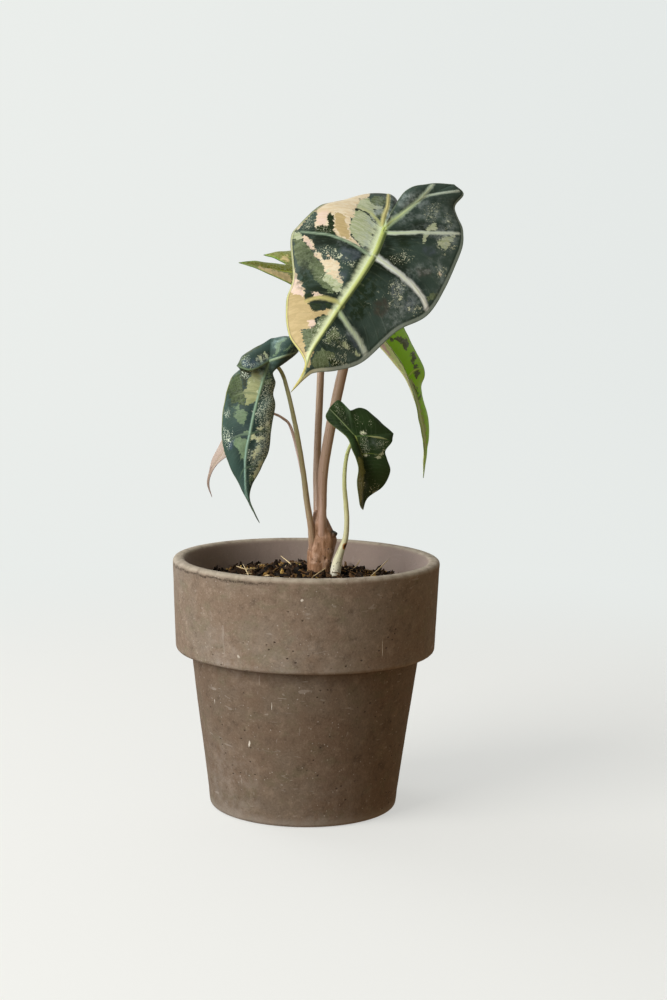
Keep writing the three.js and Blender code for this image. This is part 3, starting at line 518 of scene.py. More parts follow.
# Patches of the blades. An outline is a row of x, z, x, z and so on, as seen from the front on an upright
# plane through the pot's axis. Later marks lie over earlier ones, and tints over all of them
MARKS = ("grey", "sage", "cream", "tan", "blush", "moss", "plum", "night")
# The blue tint is painted reflection: soft bluish patches where the glossy skin mirrors the window
TINTS = ("blue", "brown")
PATCHES = {
    ("big", "grey"): [
        [-8, 275.5, -5.5, 275.5, -0.5, 271.5, 3.5, 265.5, 5.5, 264, 8, 258.5, 14.5, 254.5, 13, 250.5,
         10, 250, 5.5, 252.5, 3, 255, -0.5, 261, -6.5, 263, -8.5, 271.5],
        [4.5, 238.5, 7, 240, 10.5, 239.5, 1, 222.5, -1.5, 221.5, -4, 228, -4, 232, -0.5, 232.5, 1.5, 233.5,
         3, 235.5],
        [6, 223.5, 12, 221, 13, 219, 9, 218, 9.5, 215, 6.5, 213.5, 2.5, 214, 0.5, 216.5, 2, 220.5],
        [9.5, 232, 12, 233, 14, 230, 13, 226.5, 11, 228, 9, 225.5, 6.5, 227.5],
        [55, 248, 58.5, 252, 59.5, 250, 61, 249.5, 56, 246],
        [27.5, 294.5, 29.5, 296, 33, 295.5, 35.5, 293.5, 34.5, 291.5, 30, 291, 28, 292],
        [29.5, 289.5, 34.5, 290.5, 34, 287, 32, 284.5, 30.5, 285.5]],
    ("big", "sage"): [
        [19.5, 289, 23.5, 289.5, 26.5, 287.5, 29.5, 284, 30, 281.5, 29.5, 277.5, 27, 273.5, 25, 272,
         23, 273, 18, 278.5, 17.5, 281, 18.5, 284, 19.5, 286],
        [21, 290.5, 21.5, 292.5, 23, 294.5, 27, 295, 28, 292.5, 30, 291, 34.5, 291, 34.5, 290.5,
         29.5, 289.5, 30.5, 285, 29.5, 284, 26, 288],
        [7, 259, 11, 258.5, 13.5, 257, 15.5, 254.5, 12.5, 249.5, 8.5, 254, 5.5, 256.5],
        [-9.5, 278, -5, 278, -4, 275.5, -10, 275],
        [55, 281.5, 58.5, 284.5, 60, 284, 59.5, 281, 57, 280, 55, 277.5, 54, 274, 53, 275, 53.5, 279],
        [60, 275.5, 63.5, 277.5, 68, 278, 64, 270, 62, 272, 60.5, 272.5],
        [15.5, 227, 17, 227, 18.5, 224, 18, 223, 15.5, 225],
        [21, 224, 22.5, 223, 24, 220.5, 22.5, 219.5]],
    ("big", "cream"): [
        [-1, 288, 2, 293, 7, 297, 14, 301, 23, 302, 22, 296, 20, 290, 10, 289, 3, 289],
        [2.5, 291.5, 19.5, 290.5, 20.5, 288.5, 18, 282.5, 18, 279.5, 19, 277, 23.5, 272, 16, 274.5,
         10.5, 278.5, 2.5, 278.5, 1.5, 280],
        [-8, 279.5, -6.5, 283, -1, 287.5, 0, 287, -2.5, 284.5, -6.5, 279.5],
        [-4.5, 277.5, -2.5, 277.5, -2, 275.5, 1, 273.5, 1.5, 271.5, 4.5, 267, 7.5, 265, 9, 266, 7.5, 268.5,
         13, 265, 14, 262.5, 13, 258.5, 15.5, 255, 15, 254, 9, 258.5, 7, 259, 6, 261, 6.5, 262.5,
         3.5, 265.5, 0.5, 270.5, -4, 274.5],
        [-9.5, 260.5, -7.5, 261.5, -7, 257, -4, 254.5, -2.5, 249.5, -2.5, 245.5, -12.5, 245, -12, 250,
         -8.5, 253],
        [14, 294.5, 16, 297.5, 20.5, 299, 23, 298, 27.5, 298, 27.5, 295.5, 22.5, 294, 21, 290, 15, 291.5],
        [60, 260.5, 62, 260.5, 63, 260, 61, 259]],
    ("big", "tan"): [
        [11, 288, 16, 287.5, 16, 283.5, 17.5, 279, 19, 276, 18, 275, 13.5, 277, 11, 280.5],
        [-12.5, 250.5, -7, 252, -3.5, 249.5, -2.5, 246, -0.5, 244.5, 0, 243, 2.5, 241, 9, 242.5, 12.5, 242,
         12.5, 240.5, 10.5, 238.5, 6, 239.5, 2.5, 237, 2.5, 234.5, 1.5, 233.5, -4, 232, -4, 230.5, -2, 222,
         2, 222.5, -0.5, 214.5, -7, 207, -5, 211.5, -7, 222.5, -11.5, 229, -12.5, 234.5, -13.5, 242,
         -12.5, 246.5]],
    ("big", "blush"): [
        [2.5, 288, 7.5, 289, 8, 286.5, 7, 284, 7.5, 282, 2.5, 281.5, 2, 283.5],
        [-4, 277, -2.5, 277.5, -2, 275.5, 0.5, 273, 1, 270.5, 3.5, 268, 2.5, 267, -3.5, 274.5],
        [-9.5, 260, -4, 253.5, -3, 248, -7.5, 248.5, -10.5, 250.5, -9.5, 253],
        [-1.5, 236.5, 2.5, 237.5, 2.5, 234, 0, 233],
        [0.5, 250, 3.5, 250, 5.5, 248.5, 4.5, 247.5, 2, 247.5]],
    ("big", "night"): [
        [8.5, 287.5, 10, 286.5, 10.5, 284.5, 10.5, 280.5, 11.5, 277.5, 2.5, 278.5, 1.5, 280, 3, 281.5,
         7, 281.5, 8, 283, 7, 284.5, 7.5, 286],
        [-0.5, 244.5, 2.5, 245, 5, 244, 5, 242.5, 3, 241, 1, 242],
        [7, 245, 10.5, 244, 11.5, 242.5, 9, 242],
        [9, 218, 13, 218.5, 14.5, 217, 13, 215.5, 10.5, 214.5],
        [27, 298, 33.5, 298, 39, 295, 35.5, 295, 32, 296.5, 28, 296.5],
        [-3.5, 249, 0, 249.5, 0, 247.5, -2, 246]],
    # Painted reflection: bluish patches where the glossy skin mirrors the window
    ("big", "blue"): [
        [38, 254, 40.5, 255.5, 43, 254, 43.5, 250.5, 41, 248.5, 39, 249.5, 37.5, 251.5],
        [46, 248.5, 50, 248.5, 50.5, 244.5, 47, 241, 44.5, 243],
        [53, 272.5, 59, 273, 59.5, 269.5, 56, 268, 53, 269.5],
        [18, 231, 20, 230, 23.5, 226.5, 25.5, 222.5, 23, 221, 18, 228],
        [14, 272.5, 23.5, 270, 24, 267, 20, 264.5, 15, 265, 13.5, 269],
        [13.5, 259.5, 17.5, 261, 16.5, 255.5, 14.5, 255.5]],
    ("big", "brown"): [
        [30, 245.5, 36, 248, 38, 243, 34.5, 238.5, 30.5, 240],
        [49.5, 262.5, 57.5, 262.5, 57.5, 259, 51.5, 258]],
    ("big", "fleck"): [
        [-3, 287.5, 1, 288, 1, 281.5, -2.5, 279, -5, 279.5, -3, 283],
        [1.5, 269.5, 7, 273, 11.5, 271, 14.5, 266.5, 12, 266, 8.5, 268.5, 5, 266],
        [13.5, 265, 22.5, 265.5, 20, 261, 17.5, 262.5],
        [5.5, 259.5, 13, 258.5, 16, 254.5, 13, 251.5, 7, 255, 3.5, 256.5],
        [0.5, 280, 7.5, 281.5, 10.5, 278.5, 5.5, 277.5],
        [36.5, 255.5, 40.5, 257, 44.5, 255, 44.5, 251, 41, 246.5, 38, 248],
        [46, 243.5, 54, 244.5, 54, 241, 49, 240.5],
        [38.5, 246, 44.5, 245, 44, 243, 40, 243],
        [60, 263.5, 65.5, 264, 64.5, 258, 59.5, 258],
        [53, 288, 57.5, 293.5, 61.5, 293.5, 59, 284.5, 54.5, 284.5],
        [37, 267.5, 40, 268.5, 44, 271.5, 46, 271, 49, 266, 44, 264, 38.5, 264],
        [59, 277.5, 68.5, 278, 67.5, 274, 64.5, 269.5, 59.5, 272.5],
        [62.5, 288.5, 66, 287.5, 67, 282, 64, 281],
        [6, 233.5, 12, 234.5, 17, 227, 24.5, 220.5, 17.5, 222, 6, 226],
        [7.5, 220.5, 17.5, 222, 18, 215.5, 10, 214.5],
        [3, 237, 8, 238, 2.5, 226, -0.5, 226]],
    ("drooping", "grey"): [
        [-35.5, 214.5, -29, 222.5, -27, 224.5, -23.5, 225.5, -24, 223.5, -26.5, 222.5, -32, 218,
         -32.5, 215.5, -32, 213.5],
        [-33.5, 211.5, -32.5, 209.5, -31.5, 201, -30.5, 198.5, -31, 195.5, -33, 195.5, -34, 196.5,
         -37, 196, -39, 202, -39, 205, -36.5, 208.5]],
    ("drooping", "sage"): [
        [-19.5, 218.5, -16.5, 220, -16, 222.5, -16.5, 224.5, -14, 227, -11, 227.5, -13.5, 224.5,
         -15.5, 220, -16.5, 219],
        [-14, 220.5, -8.5, 225.5, -8, 224.5, -13, 220],
        [-12, 219.5, -6.5, 223, -5, 222, -8.5, 220, -10.5, 219],
        [-20, 212.5, -18.5, 211, -19, 206.5, -20, 204.5, -21.5, 205.5, -22, 206.5, -20.5, 208.5],
        [-37, 195, -33.5, 195.5, -33.5, 193, -36.5, 194],
        [-35.5, 192.5, -31, 194, -30, 192, -29.5, 188.5, -31.5, 186.5, -34, 187, -36, 190],
        [-36.5, 177.5, -34.5, 180, -29, 179, -30, 169, -32, 170, -33.5, 173],
        [-31.5, 182.5, -29, 183.5, -29, 182, -31, 181.5],
        [-21, 186.5, -19, 187.5, -18, 186.5, -19, 182.5, -20.5, 184.5],
        [-27.5, 162.5, -26, 160, -28.5, 158]],
    ("drooping", "cream"): [
        [-29, 213, -24, 212.5, -23.5, 211, -21.5, 211.5, -20, 214, -25, 197, -28, 196.5, -29.5, 195.5,
         -30.5, 196, -30, 198.5, -31.5, 201, -31.5, 203, -30, 204.5, -29.5, 207.5, -28, 209.5, -28, 211]],
    ("drooping", "tan"): [
        [-25, 184.5, -23, 185.5, -21.5, 185, -23.5, 183],
        [-28, 181, -26.5, 181.5, -26, 180, -23, 181, -21.5, 179.5, -24.5, 178, -26, 179.5, -28, 178],
        [-27, 173, -24, 176, -23.5, 174, -27, 168],
        [-24.5, 168.5, -22, 169, -22, 167, -23.5, 164.5, -23.5, 163.5, -26, 160, -27, 162, -24.5, 165.5],
        [-22, 221, -21, 220.5, -20.5, 218.5, -21.5, 218.5],
        [-24.5, 219, -23.5, 219, -23, 217, -23.5, 216.5]],
    ("drooping", "night"): [
        [-32.5, 213.5, -29, 213, -28, 211, -30, 208, -30.5, 204, -31.5, 204.5, -31.5, 206.5, -33, 208.5,
         -33.5, 211]],
    # Painted reflection: bluish patches where the glossy skin mirrors the window
    ("drooping", "blue"): [
        [-23, 178, -19, 179.5, -18.5, 175, -21.5, 171, -23.5, 172],
        [-38.5, 179.5, -35.5, 179, -36.5, 174, -38.5, 174],
        [-32.5, 217, -27, 218, -25, 215.5, -29, 213.5, -32.5, 214.5]],
    ("drooping", "fleck"): [
        [-22, 208, -16, 208, -15, 180, -21, 162, -27, 154, -26, 174],
        [-24.5, 219.5, -20, 221, -19.5, 217.5, -23, 215.5, -24.5, 216],
        [-32.5, 218.5, -29, 219.5, -29, 215.5, -25.5, 215.5, -26, 214, -32, 214],
        [-24.5, 212, -21, 212.5, -21.5, 211, -24, 210.5],
        [-24, 202.5, -20.5, 205.5, -19, 200.5, -21.5, 198, -23.5, 198],
        [-25, 197, -18.5, 196, -19, 190.5, -25.5, 188],
        [-29.5, 174.5, -27, 174, -27, 168.5, -30, 168.5],
        [-41, 193, -37.5, 193, -38, 189, -40.5, 189.5],
        [-41.5, 185.5, -38.5, 183.5, -36, 180, -38.5, 173.5, -41.5, 179],
        [-28.5, 168, -24.5, 170, -24, 165.5, -28.5, 159.5],
        [-33, 212, -29, 212, -29, 208, -32.5, 208.5]],
    ("small", "sage"): [
        [32, 171.5, 35.5, 173.5, 36, 175.5, 37, 175.5, 36, 173, 34, 170.5, 33, 170],
        [32, 154.5, 33, 155.5, 33.5, 154.5, 32.5, 153.5]],
    ("small", "moss"): [
        [24, 171.5, 26.5, 169.5, 27.5, 164.5, 27, 157, 25.5, 147, 24, 148, 23.5, 157.5, 22.5, 159.5]],
    ("small", "fleck"): [
        [12.5, 198, 16, 195.5, 19, 189, 19, 183.5, 14.5, 188, 12, 193],
        [21.5, 192, 24, 191.5, 23.5, 186, 22, 188],
        [32.5, 179.5, 38.5, 179.5, 39, 177, 32.5, 174.5],
        [25, 184.5, 28, 184.5, 30, 172, 25.5, 171.5],
        [29, 189, 31, 189.5, 30.5, 186, 28.5, 186],
        [31.5, 159, 34.5, 158, 33.5, 153.5, 31.5, 153.5],
        [24, 166, 26.5, 160.5, 27, 152, 24.5, 152],
        [23, 189, 26, 189, 26, 187, 24, 187]],
    ("rear", "sage"): [
        [-40, 246, -40, 273, 4, 272, 0, 269, 7, 266.5, 2, 264, -6, 262.5, -3, 259, 6, 256.5, 11, 253,
         1, 251, -4, 248.5],
        [14, 262, 20, 261, 24, 256, 18, 254.5, 16, 258],
        [19, 243, 25, 240, 27, 236, 22, 236, 17, 240],
        [28, 252, 33, 248, 31, 245, 26, 249]],
    ("rear", "night"): [
        [9, 246, 13, 247.5, 15, 243, 11, 241],
        [24, 247, 27, 245, 26, 242, 22, 244.5],
        [30, 233, 34, 231, 33, 226, 29, 229],
        [37.5, 229, 43, 229.5, 46, 228.5, 47, 226, 46.5, 223, 45, 224, 43.5, 226, 41, 227.5, 38.5, 227.5],
        [48, 222, 50, 222, 51, 219, 50.5, 217, 49, 218],
        [49.5, 217, 51, 216.5, 53, 213, 52.5, 211, 51, 209, 50, 211.5],
        [50, 206.5, 52.5, 203, 53.5, 199.5, 52.5, 199.5],
        [39.5, 231, 41.5, 231, 42, 230, 40.5, 230]],
    ("rear", "moss"): [
        [50, 202, 52, 202, 55, 191.5, 57, 181, 56.5, 173, 55, 160.5, 54.5, 162.5, 56, 173, 55, 179.5,
         52, 195],
        [48.5, 209.5, 50.5, 207, 53, 199.5, 51, 199.5, 45.5, 213]],
    ("rear", "plum"): [
        [32.5, 224, 35, 226.5, 44.5, 213.5, 43, 214]],
    ("rear", "tan"): [
        [-29.5, 261.5, -24, 261.5, -20, 261, -10, 258, -9, 253, -16, 257, -23, 258],
        [-14, 266.5, -11.5, 267.5, -11, 264.5, -14.5, 265]],
    ("pink", "plum"): [
        [-51, 148, -51, 163, -46, 166, -44, 160, -43, 148]],
}


# Where a blade throws the window's light back, or below zero where a fold keeps it dark: the middle in
# the front view, the reach along x and z in mm, and the strength
SHEENS = {
    "big": [
        (26, 251, 5, 8, -2.0), (22, 241, 4, 5, -1.6), (35, 255, 4, 4, -1.0), (46, 274, 7, 3, -1.0),
        (31, 266, 5, 4, -1.0), (58, 256, 3, 3, -0.8), (-2, 262, 4, 10, -1.3), (12, 226, 5, 4, -1.2),
        (4, 252, 5, 4, -0.7), (43, 254, 7, 6, 1.3), (52, 247, 6, 5, 0.8), (43, 243, 7, 5, 1.0),
        (64, 277, 6, 9, 1.0), (44, 286, 6, 4, 0.9), (44, 295, 12, 4, 1.7), (30, 286, 5, 6, 2.0),
        (28, 274, 6, 6, 1.6), (14, 275, 6, 4, 0.9), (19, 231, 5, 4, 1.0), (20, 219, 6, 4, 0.6),
        (54, 262, 8, 4, 1.0), (62, 257, 5, 8, 1.0), (40, 236, 7, 5, 1.0), (37, 288, 4, 4, 1.2),
        (56, 288, 7, 5, 1.0), (53, 279, 7, 4, 0.7), (66, 284, 4, 12, 0.6), (-4, 256, 4, 5, -0.8),
        (9, 277, 5, 3, -1.2),
    ],
    "drooping": [
        (-23, 212, 4, 4, 2.0), (-34, 203, 4, 5, -0.8), (-38, 194, 4, 9, -0.8), (-20, 190, 4, 16, 0.8),
        (-24, 168, 4, 10, 1.2), (-15, 227, 4, 5, 1.4), (-21, 216, 4, 3, 1.2),
    ],
    "small": [(14, 187, 7, 6, -2.5), (25, 158, 4, 8, 0.9), (32, 178, 6, 5, 0.6)],
}

# Marks on the pot and the stem base, and bits on the soil
CHIP = {"place": (-63.5, -14.0, 121.5), "depth": 0.7, "radius": 2.2, "drop": 0.7}
BLOOMS = [
    {"place": (-38, -30, 14), "core": 0.008, "reach": 0.036, "share": 0.3},
    {"place": (-38, -51, 82), "core": 0.006, "reach": 0.026, "share": 0.3},
    {"place": (-62, -14, 118), "core": 0.004, "reach": 0.02, "share": 0.25},
    {"place": (-2, -63, 84), "core": 0.004, "reach": 0.03, "share": 0.25},
    {"place": (18, -43, 6), "core": 0.004, "reach": 0.03, "share": 0.22},
]
SCRATCHES = [
    {"from": (-25.2, -44.6, 41.2), "to": (-25.6, -43.9, 38.6), "width": 0.55},
    {"from": (-42.3, -23.6, 20.4), "to": (-38.0, -29.4, 17.4), "width": 0.3},
    {"from": (-40.1, -26.6, 18.4), "to": (-37.2, -30.3, 17.0), "width": 0.25},
    {"from": (-15.1, -51.5, 61.5), "to": (-15.1, -51.3, 58.0), "width": 0.3},
    {"from": (-42.7, -32.2, 58.2), "to": (-42.6, -31.8, 56.2), "width": 0.3},
    {"from": (35.5, -53.2, 92.4), "to": (35.7, -52.7, 83.6), "width": 0.24},
    {"from": (-31.2, -55.5, 84.8), "to": (-30.4, -55.9, 83.0), "width": 0.45},
    {"from": (-2.0, -64.4, 112.8), "to": (-1.4, -64.4, 112.2), "width": 0.45},
]
PITS = [
    {"place": (5.2, -4.6, 130.5), "depth": 0.7, "radius": 0.8},
    {"place": (9.5, -4.4, 122.0), "depth": 0.5, "radius": 0.6},
    {"place": (4.0, -3.8, 120.0), "depth": 0.4, "radius": 0.7},
]
STRAWS = [
    {"path": [(-12.9, 28, 117.8), (-6.6, 10, 115.8), (-1.1, -8, 113.4)], "radius": 0.32, "tint": 0.95},
    {"path": [(40.6, 22, 117.5), (35.9, 2, 116.8), (30.8, -20, 116.5)], "radius": 0.3, "tint": 1},
    {"path": [(3.6, -22, 116.4), (6.5, -18, 117.7), (9.4, -10, 118.4)], "radius": 0.3, "tint": 0.85},
    {"path": [(23.1, -4, 117.6), (24.8, 8, 117.1), (26.6, 20, 117.6)], "radius": 0.28, "tint": 0.9},
    {"path": [(-34.3, 0, 117), (-29.2, -6, 116.6), (-23.6, -2, 116.5)], "radius": 0.3, "tint": 0.9},
    {"path": [(-31.3, 10, 116.4), (-28.6, -12, 116.2), (-27.3, -22, 115.5)], "radius": 0.26, "tint": 1},
]

# Tints of the soil, for shares from 0, the darkest, to 1, the palest
PEAT_TINTS = [(0.2, (24, 17, 11)), (0.5, (46, 34, 24)), (0.8, (66, 48, 33))]
CRUMB_TINTS = [(0.0, (16, 12, 8)), (0.45, (36, 26, 17)), (0.75, (62, 44, 29)),
               (0.9, (98, 72, 46)), (0.96, (170, 134, 66)), (1.0, (222, 196, 120))]
STRAW_TINTS = [(0.0, (50, 32, 22)), (0.5, (130, 98, 62)), (1.0, (226, 204, 160))]
SCAR, SCAR_EDGE = srgb(74, 48, 24), srgb(176, 118, 52)
BLACK = (0, 0, 0)
BRIGHTEST = 0.95             # the most that a leaf throws back of any channel
DUST_BEND = (0.0052, 0.0052, 0.0052)  # metres by which noise bends the outlines of the dust
WORN_LINE_Z = 122.2          # the line worn under the pot's rim, raised by its own raggedness

# Unevenness of each surface: bumps as height and width in mm, and the seed of their noise
UNEVEN = {
    "pot": [(0.22, 28, 1), (0.05, 3.2, 2)],
    "blade_edge": [(0.25, 5, 3)],
    "blade": [(0.16, 9, 4)],
    "soil": [(1.4, 6.5, 4), (1.0, 2.6, 5), (0.5, 1.1, 6)],
    "stem": [(0.07, 2.4, 7), (0.05, 6, 8)],
    "crown_ridges": [(0.3, 1.5, 9)],
    "crown": [(0.22, 3.2, 10)],
    "crown_scars": [(0.16, 1.2, 11)],
    "stub": [(0.12, 1.3, 12)],
}

# Looks of the leaf stems: tones from the lower end up, then specks and streaks
STEM_LOOKS = {
    "big": {
        "slot": "pink_stem", "speck": (112, 80, 66), "specks": 0.5, "pale": (206, 178, 166),
        "tones": [(0.0, (168, 132, 110)), (0.3, (176, 144, 124)), (0.7, (154, 134, 108)),
                  (0.92, (160, 150, 106)), (1.0, (178, 190, 110))],
    },
    "rear": {
        "slot": "pink_stem", "speck": (104, 72, 58), "specks": 0.5, "pale": (200, 186, 178),
        "tones": [(0.0, (158, 122, 100)), (0.3, (170, 140, 120)), (0.8, (164, 142, 114)),
                  (1.0, (150, 160, 96))],
    },
    "drooping": {
        "slot": "green_stem", "speck": (104, 84, 58), "specks": 0.4, "pale": (196, 190, 152),
        "tones": [(0.0, (160, 124, 100)), (0.3, (174, 150, 122)), (0.6, (176, 172, 128)),
                  (1.0, (190, 202, 150))],
    },
    "pink": {
        "slot": "pink_stem", "speck": (214, 166, 152), "specks": 0.3, "pale": (250, 232, 224),
        "tones": [(0.0, (190, 150, 130)), (0.4, (248, 222, 212)), (1.0, (250, 226, 216))],
    },
    "small": {
        "slot": "green_stem", "speck": (88, 84, 52), "specks": 0.8, "pale": (206, 206, 176),
        "scar": (18.7, -10, 129.2),
        "tones": [(0.0, (176, 160, 136)), (0.14, (222, 218, 202)), (0.3, (214, 210, 172)),
                  (0.6, (194, 194, 142)), (1.0, (176, 186, 118))],
    },
}

# Looks of the leaf blades. A tone is as the photograph's light shows it, so the leaf's own colour is the
# tone divided by the light that falls on the blade. These tones serve where a leaf has none of its own
DARK_TONES = {
    # deep_light is the paler ground along the edge and in streaks, and also the painted sheen far from the
    # veins
    "deep": (27, 38, 27), "deep_other": (42, 57, 52), "deep_light": (70, 88, 80),
    "grey": (84, 96, 66), "grey_other": (106, 120, 88),
    "sage": (168, 180, 140), "sage_other": (190, 198, 168),
    "cream": (228, 216, 190), "cream_other": (220, 202, 168),
    "tan": (186, 166, 120), "tan_other": (198, 178, 132),
    "blush": (230, 208, 194), "blush_other": (226, 204, 180),
    "moss": (124, 132, 72), "moss_other": (96, 108, 56),
    "plum": (92, 72, 78), "plum_other": (126, 98, 104),
    "night": (28, 42, 22), "night_other": (40, 54, 30),
    # blue is the tone of the painted reflection patches, where the glossy skin mirrors the window
    "blue": (84, 94, 106), "brown": (72, 60, 50),
    "fleck": (204, 210, 182), "glare": (176, 190, 190), "net": (150, 164, 136), "edge": (76, 92, 78),
    "under": (96, 78, 76), "under_vein": (150, 140, 110),
}


def leaf_look(slot, roughness, specular, splash, light, **tones):
    """One blade's look: its gloss, where its pale splashes start, the light on it and its own tones."""
    return {
        "slot": slot, "roughness": roughness, "specular": specular, "splash": splash, "light": light,
        "tones": {**DARK_TONES, **tones},
    }


LEAF_LOOKS = {
    "big": leaf_look("dark_leaf", 0.42, 0.12, 0.61, 1.0),
    # The drooping leaf's blue tone is that of its painted reflection patches
    "drooping": leaf_look(
        "dark_leaf", 0.45, 0.15, 0.575, 1.15, deep=(28, 44, 36), deep_other=(42, 64, 62),
        deep_light=(70, 96, 88), grey=(78, 96, 54), grey_other=(56, 72, 40), sage=(118, 144, 112),
        sage_other=(104, 128, 98), cream=(166, 172, 126), cream_other=(148, 156, 108),
        tan=(238, 242, 196), tan_other=(216, 228, 184), under=(60, 66, 36), under_vein=(96, 100, 56),
        fleck=(236, 250, 226), glare=(190, 224, 222), blue=(92, 110, 138)),
    "small": leaf_look(
        "dark_leaf", 0.45, 0.1, 0.62, 0.8, deep=(26, 42, 18), deep_other=(34, 50, 24),
        deep_light=(48, 68, 38), sage=(160, 164, 134), sage_other=(148, 152, 120),
        moss=(124, 130, 74), moss_other=(92, 98, 52), edge=(48, 60, 36), under=(150, 156, 108),
        under_vein=(160, 166, 116)),
    # The rear leaf's light is set low, so its own colours come out paler than they are: painted light,
    # standing in for the light that shines through the backlit blade
    "rear": leaf_look(
        "bright_leaf", 0.45, 0.12, 0.62, 0.42, deep=(92, 156, 22), deep_other=(112, 170, 30),
        deep_light=(116, 160, 50), sage=(90, 94, 38), sage_other=(78, 82, 32), night=(62, 72, 44),
        night_other=(74, 84, 66), moss=(116, 134, 86), moss_other=(126, 140, 98),
        tan=(140, 128, 92), tan_other=(156, 142, 104), edge=(44, 60, 34), under=(118, 104, 92),
        under_vein=(160, 152, 120)),
    "pink": leaf_look(
        "pink_leaf", 0.5, 0.2, 0.62, 1.0, deep=(186, 166, 154), deep_other=(204, 178, 166),
        deep_light=(170, 156, 144), edge=(140, 116, 112), under=(190, 168, 156),
        under_vein=(170, 154, 140), plum=(128, 102, 102), plum_other=(150, 124, 118)),
}


# Leaf nets

class Strip:
    """One strip of a blade's net, between the rib of a lobe and the edge outside or inside it."""

    def __init__(self, blade, half, side, inner):
        sizes = BLADES[blade]
        shape = sizes[half]
        self.name = half + ("_inner" if inner else "")
        self.sizes = sizes
        self.lobe = [*shape["rib"], sizes["junction"]]
        self.midrib = [sizes["junction"], *sizes["midrib"]]
        self.corner = len(shape["rib"])
        self.inner = inner
        if inner:
            self.edge = [shape["rib"][0], *shape["inner"], sizes["sinus"]]
            self.end = self.corner
            self.side = -side
        else:
            self.edge = [shape["rib"][0], *shape["outer"], *shape["edge"], sizes["midrib"][-1]]
            self.end = self.corner + len(sizes["midrib"])
            self.side = side
        self.turned = self.side < 0

    def rib(self, stations):
        stations = np.asarray(stations, float)
        along_lobe = curve_at(self.lobe, np.minimum(stations, self.corner))
        along_midrib = curve_at(self.midrib, np.maximum(stations - self.corner, 0))
        return np.where((stations < self.corner)[:, None], along_lobe, along_midrib)

    def surface(self, stations, columns):
        """The middle of the blade at each pair of station and column, and the strip's width there."""
        stations = np.asarray(stations, float)
        columns = np.asarray(columns, float)
        base = self.rib(stations)
        across = curve_at(self.edge, stations) - base
        width = np.linalg.norm(across, axis=1)
        ahead = self.rib(np.minimum(stations + 0.5, self.end))
        tangent = unit(ahead - self.rib(np.maximum(stations - 0.5, 0)))
        up = unit(np.cross(tangent, across)) * self.side
        ridge = np.cos(np.pi / 2 * (stations - self.corner)) ** 2
        free = np.minimum(1, self.end - stations) if self.inner else np.ones(len(stations))
        swell = self.sizes["quilt"] * (1 - ridge) * np.minimum(1, width / FULL_WIDTH)
        arch = 4 * columns * (1 - columns) * width * free
        rise = self.sizes["dome"] * arch + swell * np.sin(np.pi * columns)
        points = base + across * columns[:, None] + up * rise[:, None]
        return points - tangent * (self.sizes["bow"] * arch)[:, None], width


def blade_strips(blade):
    """The four strips of a blade."""
    return [
        Strip(blade, half, side, inner)
        for half, side in (("right", 1), ("left", -1))
        for inner in (False, True)
    ]


def blade_sheet(strips, rows, columns):
    """The blade's middle sheet: points, quads, and each point's station, column and across width."""
    shares = (1 - np.cos(np.pi * np.arange(columns + 1) / columns)) / 2
    points, quads, grain = [], [], []
    count = 0
    for strip in strips:
        stations = np.arange(strip.end * rows + 1) / rows
        station, column = (grid.ravel() for grid in np.meshgrid(stations, shares, indexing="ij"))
        place, width = strip.surface(station, column)
        points.append(place)
        grain.append(np.column_stack([
            GRAIN_STEP * (station - strip.corner), strip.side * column * width, column]))
        index = count + np.arange(len(station)).reshape(len(stations), len(shares))
        a, b, c, d = index[:-1, :-1], index[1:, :-1], index[1:, 1:], index[:-1, 1:]
        ring = (a, d, c, b) if strip.turned else (a, b, c, d)
        quads.append(np.stack(ring, axis=-1).reshape(-1, 4))
        count += len(station)
    points = np.vstack(points)
    _, first, merged = np.unique(
        np.round(points, 3), axis=0, return_index=True, return_inverse=True)
    quads = merged.ravel()[np.vstack(quads)]
    return points[first], clean_faces(quads), np.vstack(grain)[first]


def clean_faces(quads):
    """Quads as faces, with those that a shared point pinches made triangles or left out."""
    faces = []
    for quad in quads.tolist():
        face = [corner for place, corner in enumerate(quad) if corner != quad[place - 1]]
        if len(set(face)) == len(face) and len(face) > 2:
            faces.append(face)
    return faces


def point_normals(points, faces):
    """The directions in which the upper side of a sheet looks, at its points."""
    a, b, c = np.array([face[:3] for face in faces]).T
    normals = np.cross(points[b] - points[a], points[c] - points[a])
    total = np.zeros_like(points)
    for face, normal in zip(faces, normals):
        total[face] += normal
    return unit(total)


def open_edges(faces):
    """The edges of a sheet that have only one face, each in that face's direction."""
    edges = {}
    for face in faces:
        for start, end in zip(face, face[1:] + face[:1]):
            if (end, start) in edges:
                del edges[(end, start)]
            else:
                edges[(start, end)] = True
    return np.array(list(edges))


def distance_to(points, line, radii):
    """How far each point lies from a line of places, and the radius that the line has there."""
    line = np.asarray(line, float)
    squares = (points ** 2).sum(1)[:, None] + (line ** 2).sum(1)[None, :] - 2 * points @ line.T
    nearest = squares.argmin(1)
    return np.sqrt(np.maximum(squares[np.arange(len(points)), nearest], 0)), radii[nearest]


def seen_on(sheet, places):
    """Where the eye's rays through the places of the front view first meet the sheet."""
    eye = Vector(EYE)
    met = []
    for x, z in places:
        spot, *_ = sheet.ray_cast(eye, (Vector((x, 0, z)) - eye).normalized())
        if spot is not None:
            met.append(spot)
    return np.array(met)


def vein_line(strips, sheet, vein, steps=240):
    """Places along a vein on the sheet, and each one's share of the way."""
    share = np.linspace(0, 1, steps)
    path = np.array([(*place, 0) for place in vein["path"]], float)
    route = curve_at(path, share * (len(path) - 1))[:, :2]
    if vein["on"] == "seen":
        line = seen_on(sheet, route)
        return line, np.linspace(0, 1, len(line))
    strip = next(strip for strip in strips if strip.name == vein["on"])
    line, _ = strip.surface(route[:, 0] + strip.corner, route[:, 1])
    return line, share


